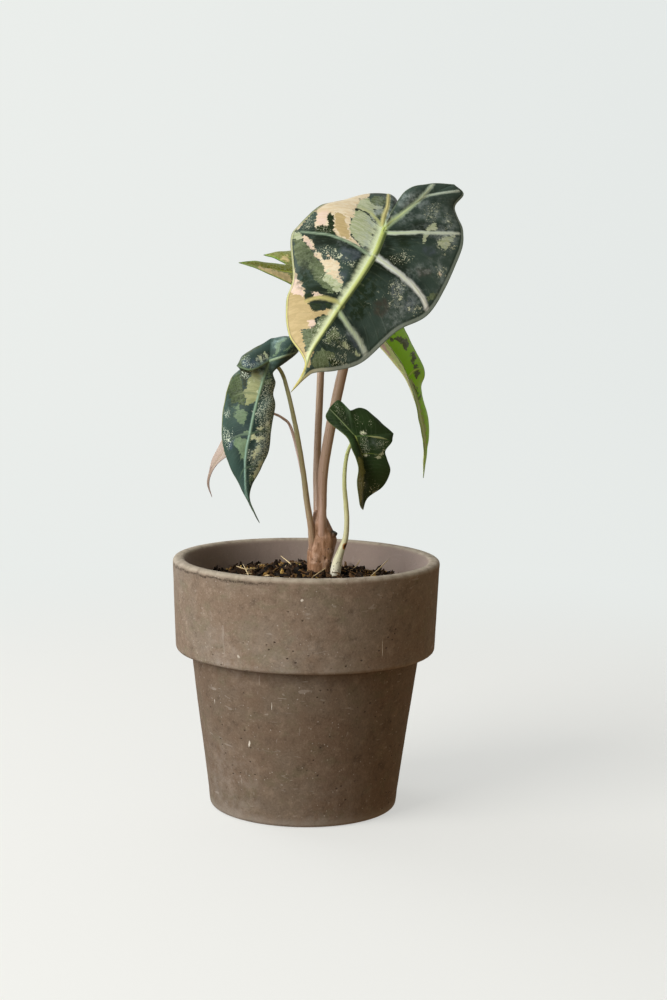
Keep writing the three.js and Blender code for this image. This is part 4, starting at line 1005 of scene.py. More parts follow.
def vein_fields(points, left_half, strips, sheet, veins):
    """At each point: how near a vein's core and its surroundings it lies, their tones, and the relief."""
    fields = {name: np.zeros(len(points)) for name in ("core", "halo", "ridge", "size")}
    fields["between"] = np.full(len(points), BETWEEN_REACH)
    sums = {name: np.full((len(points), 3), 1e-6) for name in ("tone", "halo_tone")}
    shares = {name: np.full((len(points), 1), 1e-6) for name in ("tone", "halo_tone")}
    for vein in veins:
        line, along = vein_line(strips, sheet, vein)
        away, place = distance_to(points, line, along)
        core, halo, left = (
            vein[name][0] + (vein[name][1] - vein[name][0]) * place for name in ("core", "halo", "left"))
        halo = np.where(left_half, left, halo)
        near = {
            "core": np.clip(CORE_FADE - away / core, 0, 1),
            "halo": np.clip(HALO_FADE - away / halo, 0, 1),
        }
        ridge = np.clip(1 - away / (RIDGE_FADE * core), 0, 1)
        fields["between"] = np.minimum(fields["between"], away)
        fields["size"] = np.where(ridge > fields["ridge"], core, fields["size"])
        fields["ridge"] = np.maximum(fields["ridge"], ridge)
        for name, tone in (("core", "tone"), ("halo", "halo_tone")):
            first, last = (np.array(srgb(*colour)) for colour in vein[tone])
            weight = (near[name] ** 3 + 1e-4 / (1 + away ** 2))[:, None]
            sums[tone] += weight * (first + (last - first) * place[:, None])
            shares[tone] += weight
            fields[name] = np.maximum(fields[name], near[name])
    for tone in sums:
        fields[tone] = sums[tone] / shares[tone]
    return fields


def rim_fields(points, blade, strips):
    """How far each point lies from the blade's edge, the margin's width there and its tone."""
    away = np.full(len(points), np.inf)
    width = np.zeros(len(points))
    tone = np.zeros((len(points), 3))
    for strip in strips:
        end = strip.end - (SINUS_END if strip.inner else 0)
        stations = np.linspace(0, end, RIM_STEPS * strip.end)
        line, _ = strip.surface(stations, np.ones(len(stations)))
        gap, station = distance_to(points, line, stations - strip.corner)
        marks = RIMS[blade][strip.name]
        places = [mark[0] for mark in marks]
        nearer = gap < away
        away = np.minimum(away, gap)
        width = np.where(nearer, np.interp(station, places, [mark[1] for mark in marks]), width)
        tones = np.array([srgb(*mark[2]) for mark in marks])
        here = np.column_stack([np.interp(station, places, channel) for channel in tones.T])
        tone = np.where(nearer[:, None], here, tone)
    return {"rim": away, "rim_share": away / width, "rim_tone": tone}


def patches_of(blade):
    """The outlines of each mark on a blade."""
    return {mark: outlines for (owner, mark), outlines in PATCHES.items() if owner == blade}


def patch_field(places, outlines):
    """How deep each place lies inside any of the outlines, or outside them all as a minus."""
    field = np.full(len(places), -FIELD_REACH)
    for outline in outlines:
        corners = np.array(outline, float).reshape(-1, 2)
        following = np.roll(corners, -1, axis=0)
        away = np.full(len(places), np.inf)
        inside = np.zeros(len(places), bool)
        for start, end in zip(corners, following):
            along = end - start
            reach = np.clip(((places - start) @ along) / (along @ along), 0, 1)
            gap = places - start - reach[:, None] * along
            away = np.minimum(away, np.hypot(gap[:, 0], gap[:, 1]))
            if start[1] != end[1]:
                crossing = (places[:, 1] < start[1]) != (places[:, 1] < end[1])
                beyond = start[0] + (places[:, 1] - start[1]) / (end[1] - start[1]) * along[0]
                inside ^= crossing & (places[:, 0] < beyond)
        field = np.maximum(field, np.where(inside, away, -away))
    return np.clip(field, -FIELD_REACH, FIELD_REACH)


def sheen_field(places, spots):
    """How strongly each place of the front view throws the light back, or is kept dark as a minus."""
    field = np.zeros(len(places))
    for x, z, across, up, strength in spots:
        away = ((places[:, 0] - x) / across) ** 2 + ((places[:, 1] - z) / up) ** 2
        field += strength * np.exp(-away)
    return field


def edge_directions(points, normals, border):
    """The directions away from the blade, in its own plane, at the points of its border."""
    outward = np.zeros_like(points)
    away = unit(np.cross(points[border[:, 1]] - points[border[:, 0]], normals[border[:, 0]]))
    np.add.at(outward, border[:, 0], away)
    np.add.at(outward, border[:, 1], away)
    return unit(outward)


def blade_faces(faces, border, rim_points, count):
    """Faces of a closed blade: its upper side, its lower side and two bands round its edge."""
    place_on_rim = {int(corner): index for index, corner in enumerate(rim_points)}
    skin = [*faces, *([count + corner for corner in reversed(face)] for face in faces)]
    for start, end in border.tolist():
        start_out = 2 * count + place_on_rim[start]
        end_out = 2 * count + place_on_rim[end]
        skin.append((end, start, start_out, end_out))
        skin.append((end_out, start_out, count + start, count + end))
    return skin


def front_marks(points, blade):
    """The patches and sheens at a blade's points, which are placed as seen from the front."""
    view = front_view(points)
    marks = {mark: patch_field(view, outlines) for mark, outlines in patches_of(blade).items()}
    return {**marks, "sheen": sheen_field(view, SHEENS.get(blade, []))}


def blade_piece(name, blade, settings):
    """One closed leaf blade with raised veins above, ribs below and a rounded edge."""
    strips = blade_strips(blade)
    points, faces, grain = blade_sheet(strips, settings.rows, settings.columns)
    normals = point_normals(points, faces)
    marks = vein_fields(points, grain[:, 1] < 0, strips, upper_side(blade), VEINS[blade])
    marks.update(rim_fields(points, blade, strips))
    rim, size = marks["rim"], marks.pop("size")
    half = settings.thickness / MM / 2 * (EDGE_SHARE + (1 - EDGE_SHARE) * smooth(rim, 0, 3))
    lift = settings.vein_lift * size * smooth(marks["ridge"], 0, 1) * smooth(rim, 0, 1.5)
    hang = BLADES[blade]["rib_height"] * RIB_SHARE * marks["ridge"] ** 0.5
    hang = hang * smooth(rim, 0, 2) * smooth(size, 0, 0.6)
    wave = uneven(points, "blade_edge") * smooth(-rim, -5, 0) + uneven(points, "blade")
    surface = points + normals * wave[:, None]
    upper = surface + normals * (half + lift)[:, None]
    lower = surface - normals * (half + hang)[:, None]
    border = open_edges(faces)
    on_rim = np.unique(border)
    outward = edge_directions(points, normals, border)[on_rim]
    outer = surface[on_rim] + outward * (half[on_rim] * EDGE_ROUND)[:, None]
    marks.update(front_marks(points, blade), grain=grain)
    fields = {mark: np.concatenate([value, value, value[on_rim]]) for mark, value in marks.items()}
    count = len(points)
    fields["under"] = np.concatenate([np.zeros(count), np.ones(count), np.zeros(len(on_rim))])
    return make_mesh(name, placed(np.vstack([upper, lower, outer])),
                     blade_faces(faces, border, on_rim, count), fields)


# Pot, soil, crown and stems

def bend(start, control, end, steps):
    """Points of a round corner after its start, between two straight runs."""
    t = np.linspace(0, 1, steps + 1)[1:, None]
    start, control, end = (np.array(place, float) for place in (start, control, end))
    return (1 - t) ** 2 * start + 2 * t * (1 - t) * control + t * t * end


def straight(start, end, step):
    """Points of a straight run after its start, about a step apart."""
    start, end = np.array(start, float), np.array(end, float)
    count = max(1, round(float(np.linalg.norm(end - start)) / step))
    return start + (end - start) * (np.arange(1, count + 1) / count)[:, None]


def pot_profile(settings, step=1.5, steps=8):
    """The pot's wall as radius and height, from the drain hole out, up, over the rim and back in."""
    height, rim = settings.height / MM, settings.rim_radius / MM
    mouth, collar = settings.mouth_radius / MM, settings.collar_radius / MM
    collar_z, neck = settings.collar_bottom / MM, settings.neck_radius / MM
    foot, flat = settings.foot_radius / MM, height - LIP
    runs = [
        ("line", (foot - FOOT_ROUND, 0)),
        ("bend", (foot, 0), (foot + FOOT_LEAN, FOOT_ROUND)),
        ("line", (neck, collar_z - COVE_ROUND)),
        ("bend", (neck, collar_z), (neck + COVE_ROUND, collar_z)),
        ("line", (collar - COLLAR_ROUND, collar_z)),
        ("bend", (collar, collar_z), (collar, collar_z + COLLAR_ROUND)),
        ("line", (rim, flat)),
        ("bend", (rim, height), (rim - LIP, height)),
        ("line", (mouth + LIP, height)),
        ("bend", (mouth, height), (mouth - MOUTH_LEAN, flat)),
        ("line", INNER_NECK),
        ("line", (FLOOR_RADIUS, FLOOR_Z + FLOOR_ROUND)),
        ("line", (FLOOR_RADIUS - FLOOR_ROUND, FLOOR_Z)),
        ("line", (DRAIN_RADIUS, FLOOR_Z)),
        ("line", (DRAIN_RADIUS, 0)),
    ]
    profile = [np.array([[DRAIN_RADIUS, 0.0]])]
    for kind, *places in runs:
        start = profile[-1][-1]
        if kind == "line":
            profile.append(straight(start, places[0], step))
        else:
            profile.append(bend(start, *places, steps))
    return np.vstack(profile)[:-1]


def ring_faces(rings, sides, closed=False):
    """Quads between rings of points, and from the last ring to the first where closed."""
    index = np.arange(rings * sides).reshape(rings, sides)
    if closed:
        index = np.vstack([index, index[:1]])
    around = np.roll(index, -1, axis=1)
    quads = np.stack([index[:-1], around[:-1], around[1:], index[1:]], axis=-1)
    return quads.reshape(-1, 4).tolist()


def tube_faces(rings, sides):
    """Faces of a closed tube: rings of points, then the middle point of its first end and its last."""
    faces = ring_faces(rings, sides)
    first, last = rings * sides, rings * sides + 1
    for side in range(sides):
        following = (side + 1) % sides
        faces.append((first, following, side))
        faces.append((last, (rings - 1) * sides + side, (rings - 1) * sides + following))
    return faces


def pot_piece(settings):
    """The turned clay pot with its slight unevenness and one chip."""
    profile = pot_profile(settings)
    sides = settings.sides
    radius = np.repeat(profile[:, 0], sides)
    height = np.repeat(profile[:, 1], sides)
    turn = np.tile(turns(sides), len(profile))
    points = np.column_stack([radius * np.cos(turn), radius * np.sin(turn), height])
    outward = np.column_stack([np.cos(turn), np.sin(turn), np.zeros(len(turn))])
    top = settings.height / MM
    shown = smooth(height, 3, 8) * smooth(-height, -(top - 0.5), -(top - 3.5))
    chip = CHIP["depth"] * np.exp(-(distance_to(
        points, np.array([CHIP["place"]]), np.array([1.0]))[0] / CHIP["radius"]) ** 4)
    inward = uneven(points, "pot") - POT_INSET - chip
    points = points + outward * np.where(radius > DRAIN_RADIUS + 1, inward, 0)[:, None] * shown[:, None]
    points[:, 2] -= chip * CHIP["drop"]
    mouth = settings.mouth_radius / MM
    row = np.repeat(np.arange(len(profile)), sides)
    over = np.flatnonzero(profile[:, 1] > top - 0.01)[-1]
    fields = {
        "inside": smooth(row, over, over + 8),
        "lip": smooth(height, top - LIP, top - 0.6) * smooth(radius, mouth, mouth + 1),
    }
    faces = ring_faces(len(profile), sides, closed=True)
    return make_mesh("clay_pot", placed(points), faces, fields)


def inner_radius(z):
    """The inside of the pot at a height, which the soil fills."""
    settings = bpy.context.scene.alocasia_pot
    flat = settings.height / MM - LIP
    share = (z - INNER_NECK[1]) / (flat - INNER_NECK[1])
    return INNER_NECK[0] + share * (settings.mouth_radius / MM - MOUTH_LEAN - INNER_NECK[0])


def soil_height(x, y):
    away = np.hypot(x - SOIL_MOUND_X, y) / inner_radius(SOIL_WALL_Z)
    heap = SOIL_HEAP * smooth(y, -5, 25) * smooth(-x, -25, 5)
    return SOIL_MOUND_Z + heap + (SOIL_WALL_Z - SOIL_MOUND_Z) * smooth(away, *SOIL_SLOPE)


def soil_bed():
    """The fill: a rough, gently swelling top and a plain body down to the pot's floor."""
    sides, rings = 150, 60
    reach = inner_radius(SOIL_WALL_Z) - SOIL_GAP
    share = np.arange(1, rings + 1) / rings
    top = np.vstack([level_ring(radius, 0.0, sides) for radius in reach * share ** 0.9])
    calm = np.repeat(1 - 0.7 * share ** 12, sides)
    top[:, 2] = soil_height(top[:, 0], top[:, 1]) + uneven(top, "soil") * calm - SOIL_SUNK
    body = [
        (INNER_NECK[0] - SOIL_GAP, INNER_NECK[1]),
        (FLOOR_RADIUS - SOIL_GAP, FLOOR_Z + FLOOR_ROUND),
        (FLOOR_RADIUS - FLOOR_ROUND - SOIL_GAP, FLOOR_Z + SOIL_GAP),
    ]
    low = [level_ring(radius, z, sides) for radius, z in body]
    centre = [[0, 0, float(soil_height(0, 0))]]
    bottom = [[0, 0, FLOOR_Z + SOIL_GAP]]
    points = np.vstack([top, *low, centre, bottom])
    faces = [face[::-1] for face in tube_faces(rings + len(body), sides)]
    return make_mesh("soil_bed", placed(points), faces)


def ball(levels):
    """Points and faces of a round lump, to be squeezed into crumbs."""
    bpy.ops.mesh.primitive_ico_sphere_add(subdivisions=levels, radius=1)
    made = bpy.context.object
    points = np.array([vertex.co for vertex in made.data.vertices])
    faces = np.array([tuple(face.vertices) for face in made.data.polygons])
    mesh = made.data
    bpy.data.objects.remove(made)
    bpy.data.meshes.remove(mesh)
    return points, faces


def turned(points, random):
    """The points turned at random."""
    spin, _ = np.linalg.qr(random.normal(size=(3, 3)))
    return points @ spin.T


def soil_crumbs(settings):
    """Crumbs of bark, peat and grit on the soil, each with a tint of its own."""
    random = np.random.default_rng(settings.seed)
    lump, sides = ball(2)
    points, faces, tints = [], [], []
    golden = math.pi * (3 - math.sqrt(5))
    least, more = CRUMB_SIZE
    reach = inner_radius(SOIL_WALL_Z)
    for index in range(settings.crumbs):
        size = least + more * random.random() ** 3
        away = (reach - 1.2 * size - 0.4) * math.sqrt((index + random.random()) / settings.crumbs)
        angle = index * golden + random.random()
        stretch = np.array([1 + 1.6 * random.random() ** 2, 0.6 + 0.5 * random.random(),
                            0.3 + 0.5 * random.random()])
        crumb = lump * (1 + 0.3 * random.normal(size=(len(lump), 1)).clip(-1.6, 1.6))
        crumb = turned(crumb * stretch * size * 0.75, random)
        x, y = away * math.cos(angle), away * math.sin(angle)
        ground = float(soil_height(x, y))
        crumb = crumb + (x, y, ground + size * 0.4 - 0.2)
        beyond = np.hypot(crumb[:, 0], crumb[:, 1]) / (reach - 0.2)
        crumb[:, :2] /= np.maximum(beyond, 1)[:, None]
        faces.append(sides + len(points) * len(lump))
        points.append(crumb)
        tints.append(np.full(len(lump), random.random()))
    return make_mesh("soil_crumbs", placed(np.vstack(points)), np.vstack(faces).tolist(),
                     {"tint": np.concatenate(tints)}, flat=True)


def loose_straw(random, reach):
    """A thin bit that lies anywhere on the soil: its path, half thickness and tint."""
    away = (reach - STRAW_INSET) * math.sqrt(random.random())
    angle = random.random() * 2 * math.pi
    heading = random.random() * 2 * math.pi
    length = STRAW_LENGTH[0] + STRAW_LENGTH[1] * random.random() ** 2
    middle = np.array([away * math.cos(angle), away * math.sin(angle)])
    along = np.array([math.cos(heading), math.sin(heading)])
    side = np.array([-along[1], along[0]]) * length * 0.2 * (random.random() - 0.5)
    flat = [middle - along * length / 2, middle + side, middle + along * length / 2]
    lift = STRAW_LIFT[0] + STRAW_LIFT[1] * random.random(3)
    path = np.array([(*place, float(soil_height(*place)) + rise) for place, rise in zip(flat, lift)])
    path[:, :2] /= np.maximum(np.hypot(path[:, 0], path[:, 1]) / (reach - 1), 1)[:, None]
    radius = STRAW_RADIUS[0] + STRAW_RADIUS[1] * random.random() ** 2
    return {"path": path, "radius": radius, "tint": random.random() ** 1.4}


def soil_straws(settings):
    """Thin bits of root, bark fibre and straw that lie on the soil."""
    random = np.random.default_rng(settings.seed + 1)
    reach = inner_radius(SOIL_WALL_Z)
    straws = [*STRAWS, *(loose_straw(random, reach) for _ in range(settings.straws))]
    points, faces, tints = [], [], []
    count, steps = 0, 8
    taper = np.sqrt(np.sin(np.linspace(0.35, math.pi - 0.35, steps)))
    for straw in straws:
        line = curve_at(straw["path"], np.linspace(0, len(straw["path"]) - 1, steps))
        tube, sides = tube_mesh(line, straw["radius"] * taper, STRAW_SIDES)
        points.append(tube)
        faces.extend([[count + corner for corner in face] for face in sides])
        tints.append(np.full(len(tube), straw["tint"]))
        count += len(tube)
    return make_mesh("soil_straws", placed(np.vstack(points)), faces, {"tint": np.concatenate(tints)})


def tube_mesh(line, radii, sides):
    """Points and faces of a closed tube round a line of places."""
    tangent = unit(np.gradient(line, axis=0))
    normal = unit(np.cross(tangent[0], (0.3, 1, 0.2)))
    angle = turns(sides)
    rings = []
    for place, along, radius in zip(line, tangent, radii):
        normal = unit(normal - along * (normal @ along))
        other = np.cross(along, normal)
        rings.append(place + radius * (
            np.cos(angle)[:, None] * normal + np.sin(angle)[:, None] * other))
    return np.vstack([*rings, line[:1], line[-1:]]), tube_faces(len(line), sides)


def upper_side(blade):
    """The blade's middle sheet as a surface to look up the nearest place and direction on."""
    points, faces, _ = blade_sheet(blade_strips(blade), *SHEET_FINENESS)
    triangles = []
    for face in faces:
        triangles.append(face[:3])
        if len(face) == 4:
            triangles.append([face[0], face[2], face[3]])
    return BVHTree.FromPolygons(points.tolist(), triangles)


def stem_piece(name, blade, settings):
    """A leaf stem, slightly uneven, whose upper end stays below the upper side of its blade."""
    stem = STEMS[blade]
    steps, sides = settings.steps, settings.sides
    stations = np.linspace(0, len(stem["path"]) - 1, steps)
    line = curve_at(stem["path"], stations)
    radii = curve_at([(radius, 0, 0) for radius in stem["radius"]], stations)[:, 0]
    points, faces = tube_mesh(line, radii, sides)
    outward = unit(points - np.vstack([np.repeat(line, sides, axis=0), line[:1], line[-1:]]))
    points = points + outward * uneven(points, "stem")[:, None]
    sheet = upper_side(blade)
    near = np.linalg.norm(points - np.array(BLADES[blade]["junction"]), axis=1) < STEM_NEAR
    for index in np.nonzero(near)[0]:
        place, normal, _, away = sheet.find_nearest(Vector(points[index]))
        above = (Vector(points[index]) - place).dot(normal)
        if above > -settings.tuck / MM and away < 1.5 * radii[-1]:
            points[index] = place - normal * (settings.tuck / MM)
    along = np.repeat(np.linspace(0, 1, steps), sides)
    turn = np.tile(turns(sides), steps)
    grain = np.column_stack([np.cos(turn), np.sin(turn), along])
    ends = np.array([[0, 0, 0.0], [0, 0, 1.0]])
    return make_mesh(name, placed(points), faces, {
        "along": np.concatenate([along, [0, 1]]),
        "grain": np.vstack([grain, ends]),
    })


def crown_body():
    """Points and faces of the swollen, fluted and pitted stem base."""
    steps, sides = 120, 96
    rings = np.array(CROWN_RINGS, float)
    stations = np.linspace(0, len(rings) - 1, steps)
    middle = curve_at(rings[:, [1, 2, 0]], stations)
    widths = curve_at([(across, deep, 0) for *_, across, deep in CROWN_RINGS], stations)
    z = np.repeat(middle[:, 2], sides)
    turn = np.tile(turns(sides), steps)
    flute = -CROWN_FLUTE_DEPTH * np.cos(CROWN_FLUTES * turn + z / CROWN_FLUTE_TURN)
    outward = np.column_stack([np.cos(turn), np.sin(turn), np.zeros(len(turn))])
    reach = np.column_stack([*(np.repeat(widths[:, :2], sides, axis=0) + flute[:, None]).T, z])
    points = np.repeat(middle, sides, axis=0) + outward * reach
    relief = uneven(points * (1, 1, 0.3), "crown_ridges") + uneven(points, "crown")
    scars = np.abs(uneven(points * (0.4, 0.4, 1), "crown_scars"))
    for pit in PITS:
        away, _ = distance_to(points, np.array([pit["place"]]), np.array([1.0]))
        relief = relief - pit["depth"] * np.exp(-(away / pit["radius"]) ** 2)
    points = points + outward * (relief - scars)[:, None]
    return np.vstack([points, middle[:1] - (0, 0, 1), middle[-1:] + (0, 0, 1)]), tube_faces(steps, sides)


def crown_piece():
    """The stem base with the cut stub on its right."""
    points, faces = crown_body()
    line, radii = stub_shape()
    stub, stub_faces = tube_mesh(line, radii, 32)
    stub = stub + uneven(stub, "stub")[:, None] * unit(stub - line.mean(0))
    faces.extend([[len(points) + corner for corner in face] for face in stub_faces])
    along = (stub - line[0]) @ unit(line[-1] - line[0])
    cut = np.concatenate([np.zeros(len(points)), smooth(along, *STUB["dark"])])
    return make_mesh("stem_base", placed(np.vstack([points, stub])), faces, {"cut": cut})


def stub_shape():
    """The middle line of the cut stub and its half thicknesses, with a rounded, sunken end."""
    start, end = (np.array(STUB[place], float) for place in ("from", "to"))
    share = np.array([0, 0.25, 0.5, 0.75, 0.92, 0.98, 1.0, 0.99, 0.93])
    width = np.array([1, 0.98, 0.94, 0.89, 0.85, 0.8, 0.68, 0.5, 0.28])
    return start + (end - start) * share[:, None], STUB["radius"] * width


# Finishes

class Nodes:
    """A node tree, with a short call for each kind of node."""

    def __init__(self, tree):
        self.tree = tree

    def feed(self, socket, value):
        if isinstance(value, bpy.types.NodeSocket):
            self.tree.links.new(value, socket)
        elif socket.type == "RGBA":
            socket.default_value = (*value, 1)
        else:
            socket.default_value = value

    def node(self, kind, feeds, output=0, **options):
        """Adds a shader node with its options, feeds its inputs and gives back one of its outputs."""
        node = self.tree.nodes.new("ShaderNode" + kind)
        for option, value in options.items():
            setattr(node, option, value)
        for socket, value in feeds.items():
            self.feed(node.inputs[socket], value)
        return node.outputs[output]

    def place(self, stretch=(1, 1, 1)):
        """The surface's own place in metres, stretched."""
        place = self.node("TexCoord", {}, output="Object")
        return self.node("Mapping", {"Vector": place, "Scale": stretch})

    def field(self, name, output="Fac"):
        """What the mesh keeps at its points under this name."""
        return self.node("Attribute", {}, output=output, attribute_name=name)

    def grain(self, stretch):
        """The place along and across the leaf or stem, which the mesh keeps at its points, stretched."""
        return self.node("Mapping", {"Vector": self.field("grain", "Vector"), "Scale": stretch})

    def noise(self, vector, scale, detail=2.0, roughness=0.5, distortion=0.0, output=0):
        return self.node("TexNoise", {
            "Vector": vector, "Scale": scale, "Detail": detail, "Roughness": roughness,
            "Distortion": distortion}, output)

    def cells(self, vector, scale, feature="F1"):
        return self.node("TexVoronoi", {"Vector": vector, "Scale": scale}, feature=feature)

    def math(self, operation, first, second=0.0, third=0.0):
        return self.node("Math", {0: first, 1: second, 2: third}, operation=operation)

    def times(self, first, second):
        return self.math("MULTIPLY", first, second)

    def sway(self, noise, reach, value=0.0):
        """The value, moved to either side as far as the noise leaves its middle, times reach."""
        return self.math("MULTIPLY_ADD", self.math("SUBTRACT", noise, 0.5), reach, value)

    def step(self, value, low, high, start=0.0, end=1.0):
        """start below low, end above high and a smooth change between them."""
        return self.node("MapRange", {
            "Value": value, "From Min": low, "From Max": high, "To Min": start, "To Max": end},
            interpolation_type="SMOOTHSTEP")

    def mix(self, factor, first, second, blend="MIX"):
        return self.node("Mix", {0: factor, 6: first, 7: second}, output=2,
                         data_type="RGBA", blend_type=blend)

    def ramp(self, value, stops):
        """A colour, given by the eye, for each share from 0 to 1."""
        node = self.tree.nodes.new("ShaderNodeValToRGB")
        self.feed(node.inputs[0], value)
        elements = node.color_ramp.elements
        while len(elements) < len(stops):
            elements.new(0.5)
        for element, (share, tone) in zip(elements, stops):
            element.position = share
            element.color = (*srgb(*tone), 1)
        return node.outputs[0]

    def near(self, place, spot, low, high):
        """1 within low of the spot, in metres, and 0 beyond high."""
        away = self.node("VectorMath", {0: place, 1: spot}, output="Value", operation="DISTANCE")
        return self.step(away, low, high, 1.0, 0.0)

    def part(self, place, axis):
        return self.node("SeparateXYZ", {0: place}, output=axis)


class Finish(Nodes):
    """One material: a ground colour, and coats of other colours over it."""

    def __init__(self, name, ground, roughness, specular):
        self.material = bpy.data.materials.new(name)
        self.material.use_nodes = True
        super().__init__(self.material.node_tree)
        self.shader = self.tree.nodes["Principled BSDF"]
        self.shader.inputs["Roughness"].default_value = roughness
        self.shader.inputs["Specular IOR Level"].default_value = specular
        self.spot = self.place()
        self.colour = ground

    def coat(self, share, tone, blend="MIX"):
        """Lays a tone over the colour so far, as strongly as the share says."""
        self.colour = self.mix(share, self.colour, tone, blend)

    def bumps(self, height, strength, depth):
        """Bends the light as if the surface had this relief, depth metres deep."""
        normal = self.node("Bump", {
            "Strength": strength, "Distance": depth, "Height": height}, output="Normal")
        self.tree.links.new(normal, self.shader.inputs["Normal"])

    def finish(self, roughness=None):
        self.feed(self.shader.inputs["Base Color"], self.colour)
        if roughness is not None:
            self.feed(self.shader.inputs["Roughness"], roughness)
        return self.material


class LeafSkin(Finish):
    """Leaf skin: a dark ground, jagged patches, flecks, veins with pale surroundings and a margin."""

    def __init__(self, name, look, marks):
        self.look, self.marks = look, marks
        self.tones = {
            tone: tuple(min(channel / look["light"], BRIGHTEST) for channel in srgb(*value))
            for tone, value in look["tones"].items()
        }
        super().__init__(name, self.tones["deep"], look["roughness"], look["specular"])
        self.slow = self.noise(self.spot, 48, 2)
        self.middle = self.noise(self.spot, 330, 4, 0.68)
        self.fine = self.noise(self.spot, 1300, 3, 0.7)
        self.streak = self.noise(self.grain((1.1, 0.26, 0)), 0.8, 4, 0.66, 0.5)

    def kept_tone(self, name):
        """A tone kept at the points, as the photograph shows it, without the light on it."""
        return self.node("VectorMath", {0: self.field(name, "Vector"), 3: 1 / self.look["light"]},
                         operation="SCALE")

    def paint_ground(self):
        """Clouds of a second tone; a paler one along the edge, in streaks, and as painted sheen far from the
        veins.
        """
        light = self.tones["deep_light"]
        self.coat(self.step(self.slow, 0.4, 0.62), self.tones["deep_other"])
        margin = self.math("MULTIPLY_ADD", self.slow, 14.0, self.field("rim"))
        self.coat(self.step(margin, 7.0, 19.0, 0.75, 0.0), light)
        # Painted sheen: the skin far from the veins is made paler, where the light glances off the swelling
        # between them
        between = self.sway(self.slow, 16.0, self.field("between"))
        self.coat(self.step(between, 2.0, 8.0, 0.0, 0.6), light)
        self.coat(self.step(self.streak, 0.5, 0.72, 0.0, 0.4), light)

    def paint_patches(self):
        """Patches with ragged borders, a fine net of paler lines on the greenish ones, and faint tints, the
        blue painted reflection.
        """
        jag = self.sway(self.fine, 1.6, self.sway(self.middle, 4.0, self.sway(self.streak, 3.6)))
        freckle = self.step(self.streak, 0.42, 0.6)
        for mark in [mark for mark in MARKS if mark in self.marks]:
            inside = self.step(self.math("ADD", self.field(mark), jag), -0.18, 0.18)
            tone = self.mix(freckle, self.tones[mark], self.tones[mark + "_other"])
            if mark in ("grey", "sage"):
                lines = self.step(self.cells(self.spot, 620, "DISTANCE_TO_EDGE"), 0.0, 0.14, 0.22, 0.0)
                tone = self.mix(lines, tone, self.tones["net"])
            self.coat(inside, tone)
        # Faint tints; the blue one is painted reflection: bluish patches where the glossy skin mirrors the
        # window
        for mark in [mark for mark in TINTS if mark in self.marks]:
            inside = self.math("MULTIPLY_ADD", self.slow, 2.0, self.field(mark))
            cloud = self.step(self.middle, 0.36, 0.58, 0.35, 1.0)
            self.coat(self.times(self.step(inside, 0.0, 2.4, 0.0, 0.6), cloud), self.tones[mark])

    def paint_flecks(self):
        """Pale splashes that run with the grain, and irregular dust in two sizes."""
        depth = self.field("fleck")
        splash = self.noise(self.grain((1.0, 0.55, 0)), 2.6, 2, 0.6, 0.3)
        splash = self.math("MULTIPLY_ADD", depth, 0.012, splash)
        least = self.look["splash"]
        splash = self.times(self.step(splash, least, least + 0.025), self.step(depth, -0.6, 0.6))
        self.coat(splash, self.tones["fleck"])
        bent = self.noise(self.spot, 620, 3.0, 0.65, output="Color")
        bent = self.node("VectorMath", {0: bent, 1: DUST_BEND, 2: self.spot}, operation="MULTIPLY_ADD")
        ragged = self.sway(self.middle, 0.7)
        small = self.step(self.math("ADD", self.cells(bent, 400), ragged), 0.15, 0.22, 0.6, 0.0)
        large = self.step(self.math("ADD", self.cells(bent, 210), ragged), 0.17, 0.23, 0.95, 0.0)
        there = self.math("MULTIPLY_ADD", depth, 0.05, self.slow)
        dust = self.math("MAXIMUM", self.times(small, self.step(there, 0.4, 0.56)),
                         self.times(large, self.step(there, 0.46, 0.56)))
        self.coat(dust, self.tones["fleck"])

    def paint_sheen(self):
        """Where the light glares, and where a fold keeps it out."""
        sheen = self.times(self.field("sheen"), self.step(self.middle, 0.34, 0.66, 0.3, 1.7))
        self.coat(self.step(sheen, 0.0, 4.0, 0.0, 0.85), self.tones["glare"])
        self.coat(self.step(sheen, -2.0, 0.0, 0.9, 0.0), self.tones["night"])

    def paint_veins(self):
        """Feathered pale surroundings and the vein's own line in them."""
        halo = self.sway(self.middle, 0.8, self.sway(self.streak, 0.7, self.field("halo")))
        self.coat(self.step(halo, 0.05, 0.95, 0.0, 0.95), self.kept_tone("halo_tone"))
        core = self.sway(self.middle, 0.3, self.field("core"))
        self.coat(self.step(core, 0.1, 0.75, 0.0, 0.9), self.kept_tone("tone"))

    def paint_margin(self):
        """The pale margin with a dark line inside it and a dark outer edge."""
        border = self.sway(self.middle, 0.5, self.field("rim_share"))
        inner = self.math("ABSOLUTE", self.math("SUBTRACT", border, 1.35))
        self.coat(self.step(inner, 0.1, 0.45, 0.4, 0.0), self.tones["deep"])
        self.coat(self.step(border, 0.8, 1.15, 0.92, 0.0), self.kept_tone("rim_tone"))
        self.coat(self.step(border, 0.1, 0.32, 0.6, 0.0), self.tones["edge"])

    def paint_underside(self):
        below = self.mix(self.times(self.field("halo"), 0.6), self.tones["under"], self.tones["under_vein"])
        self.coat(self.field("under"), self.mix(0.3, below, self.colour))


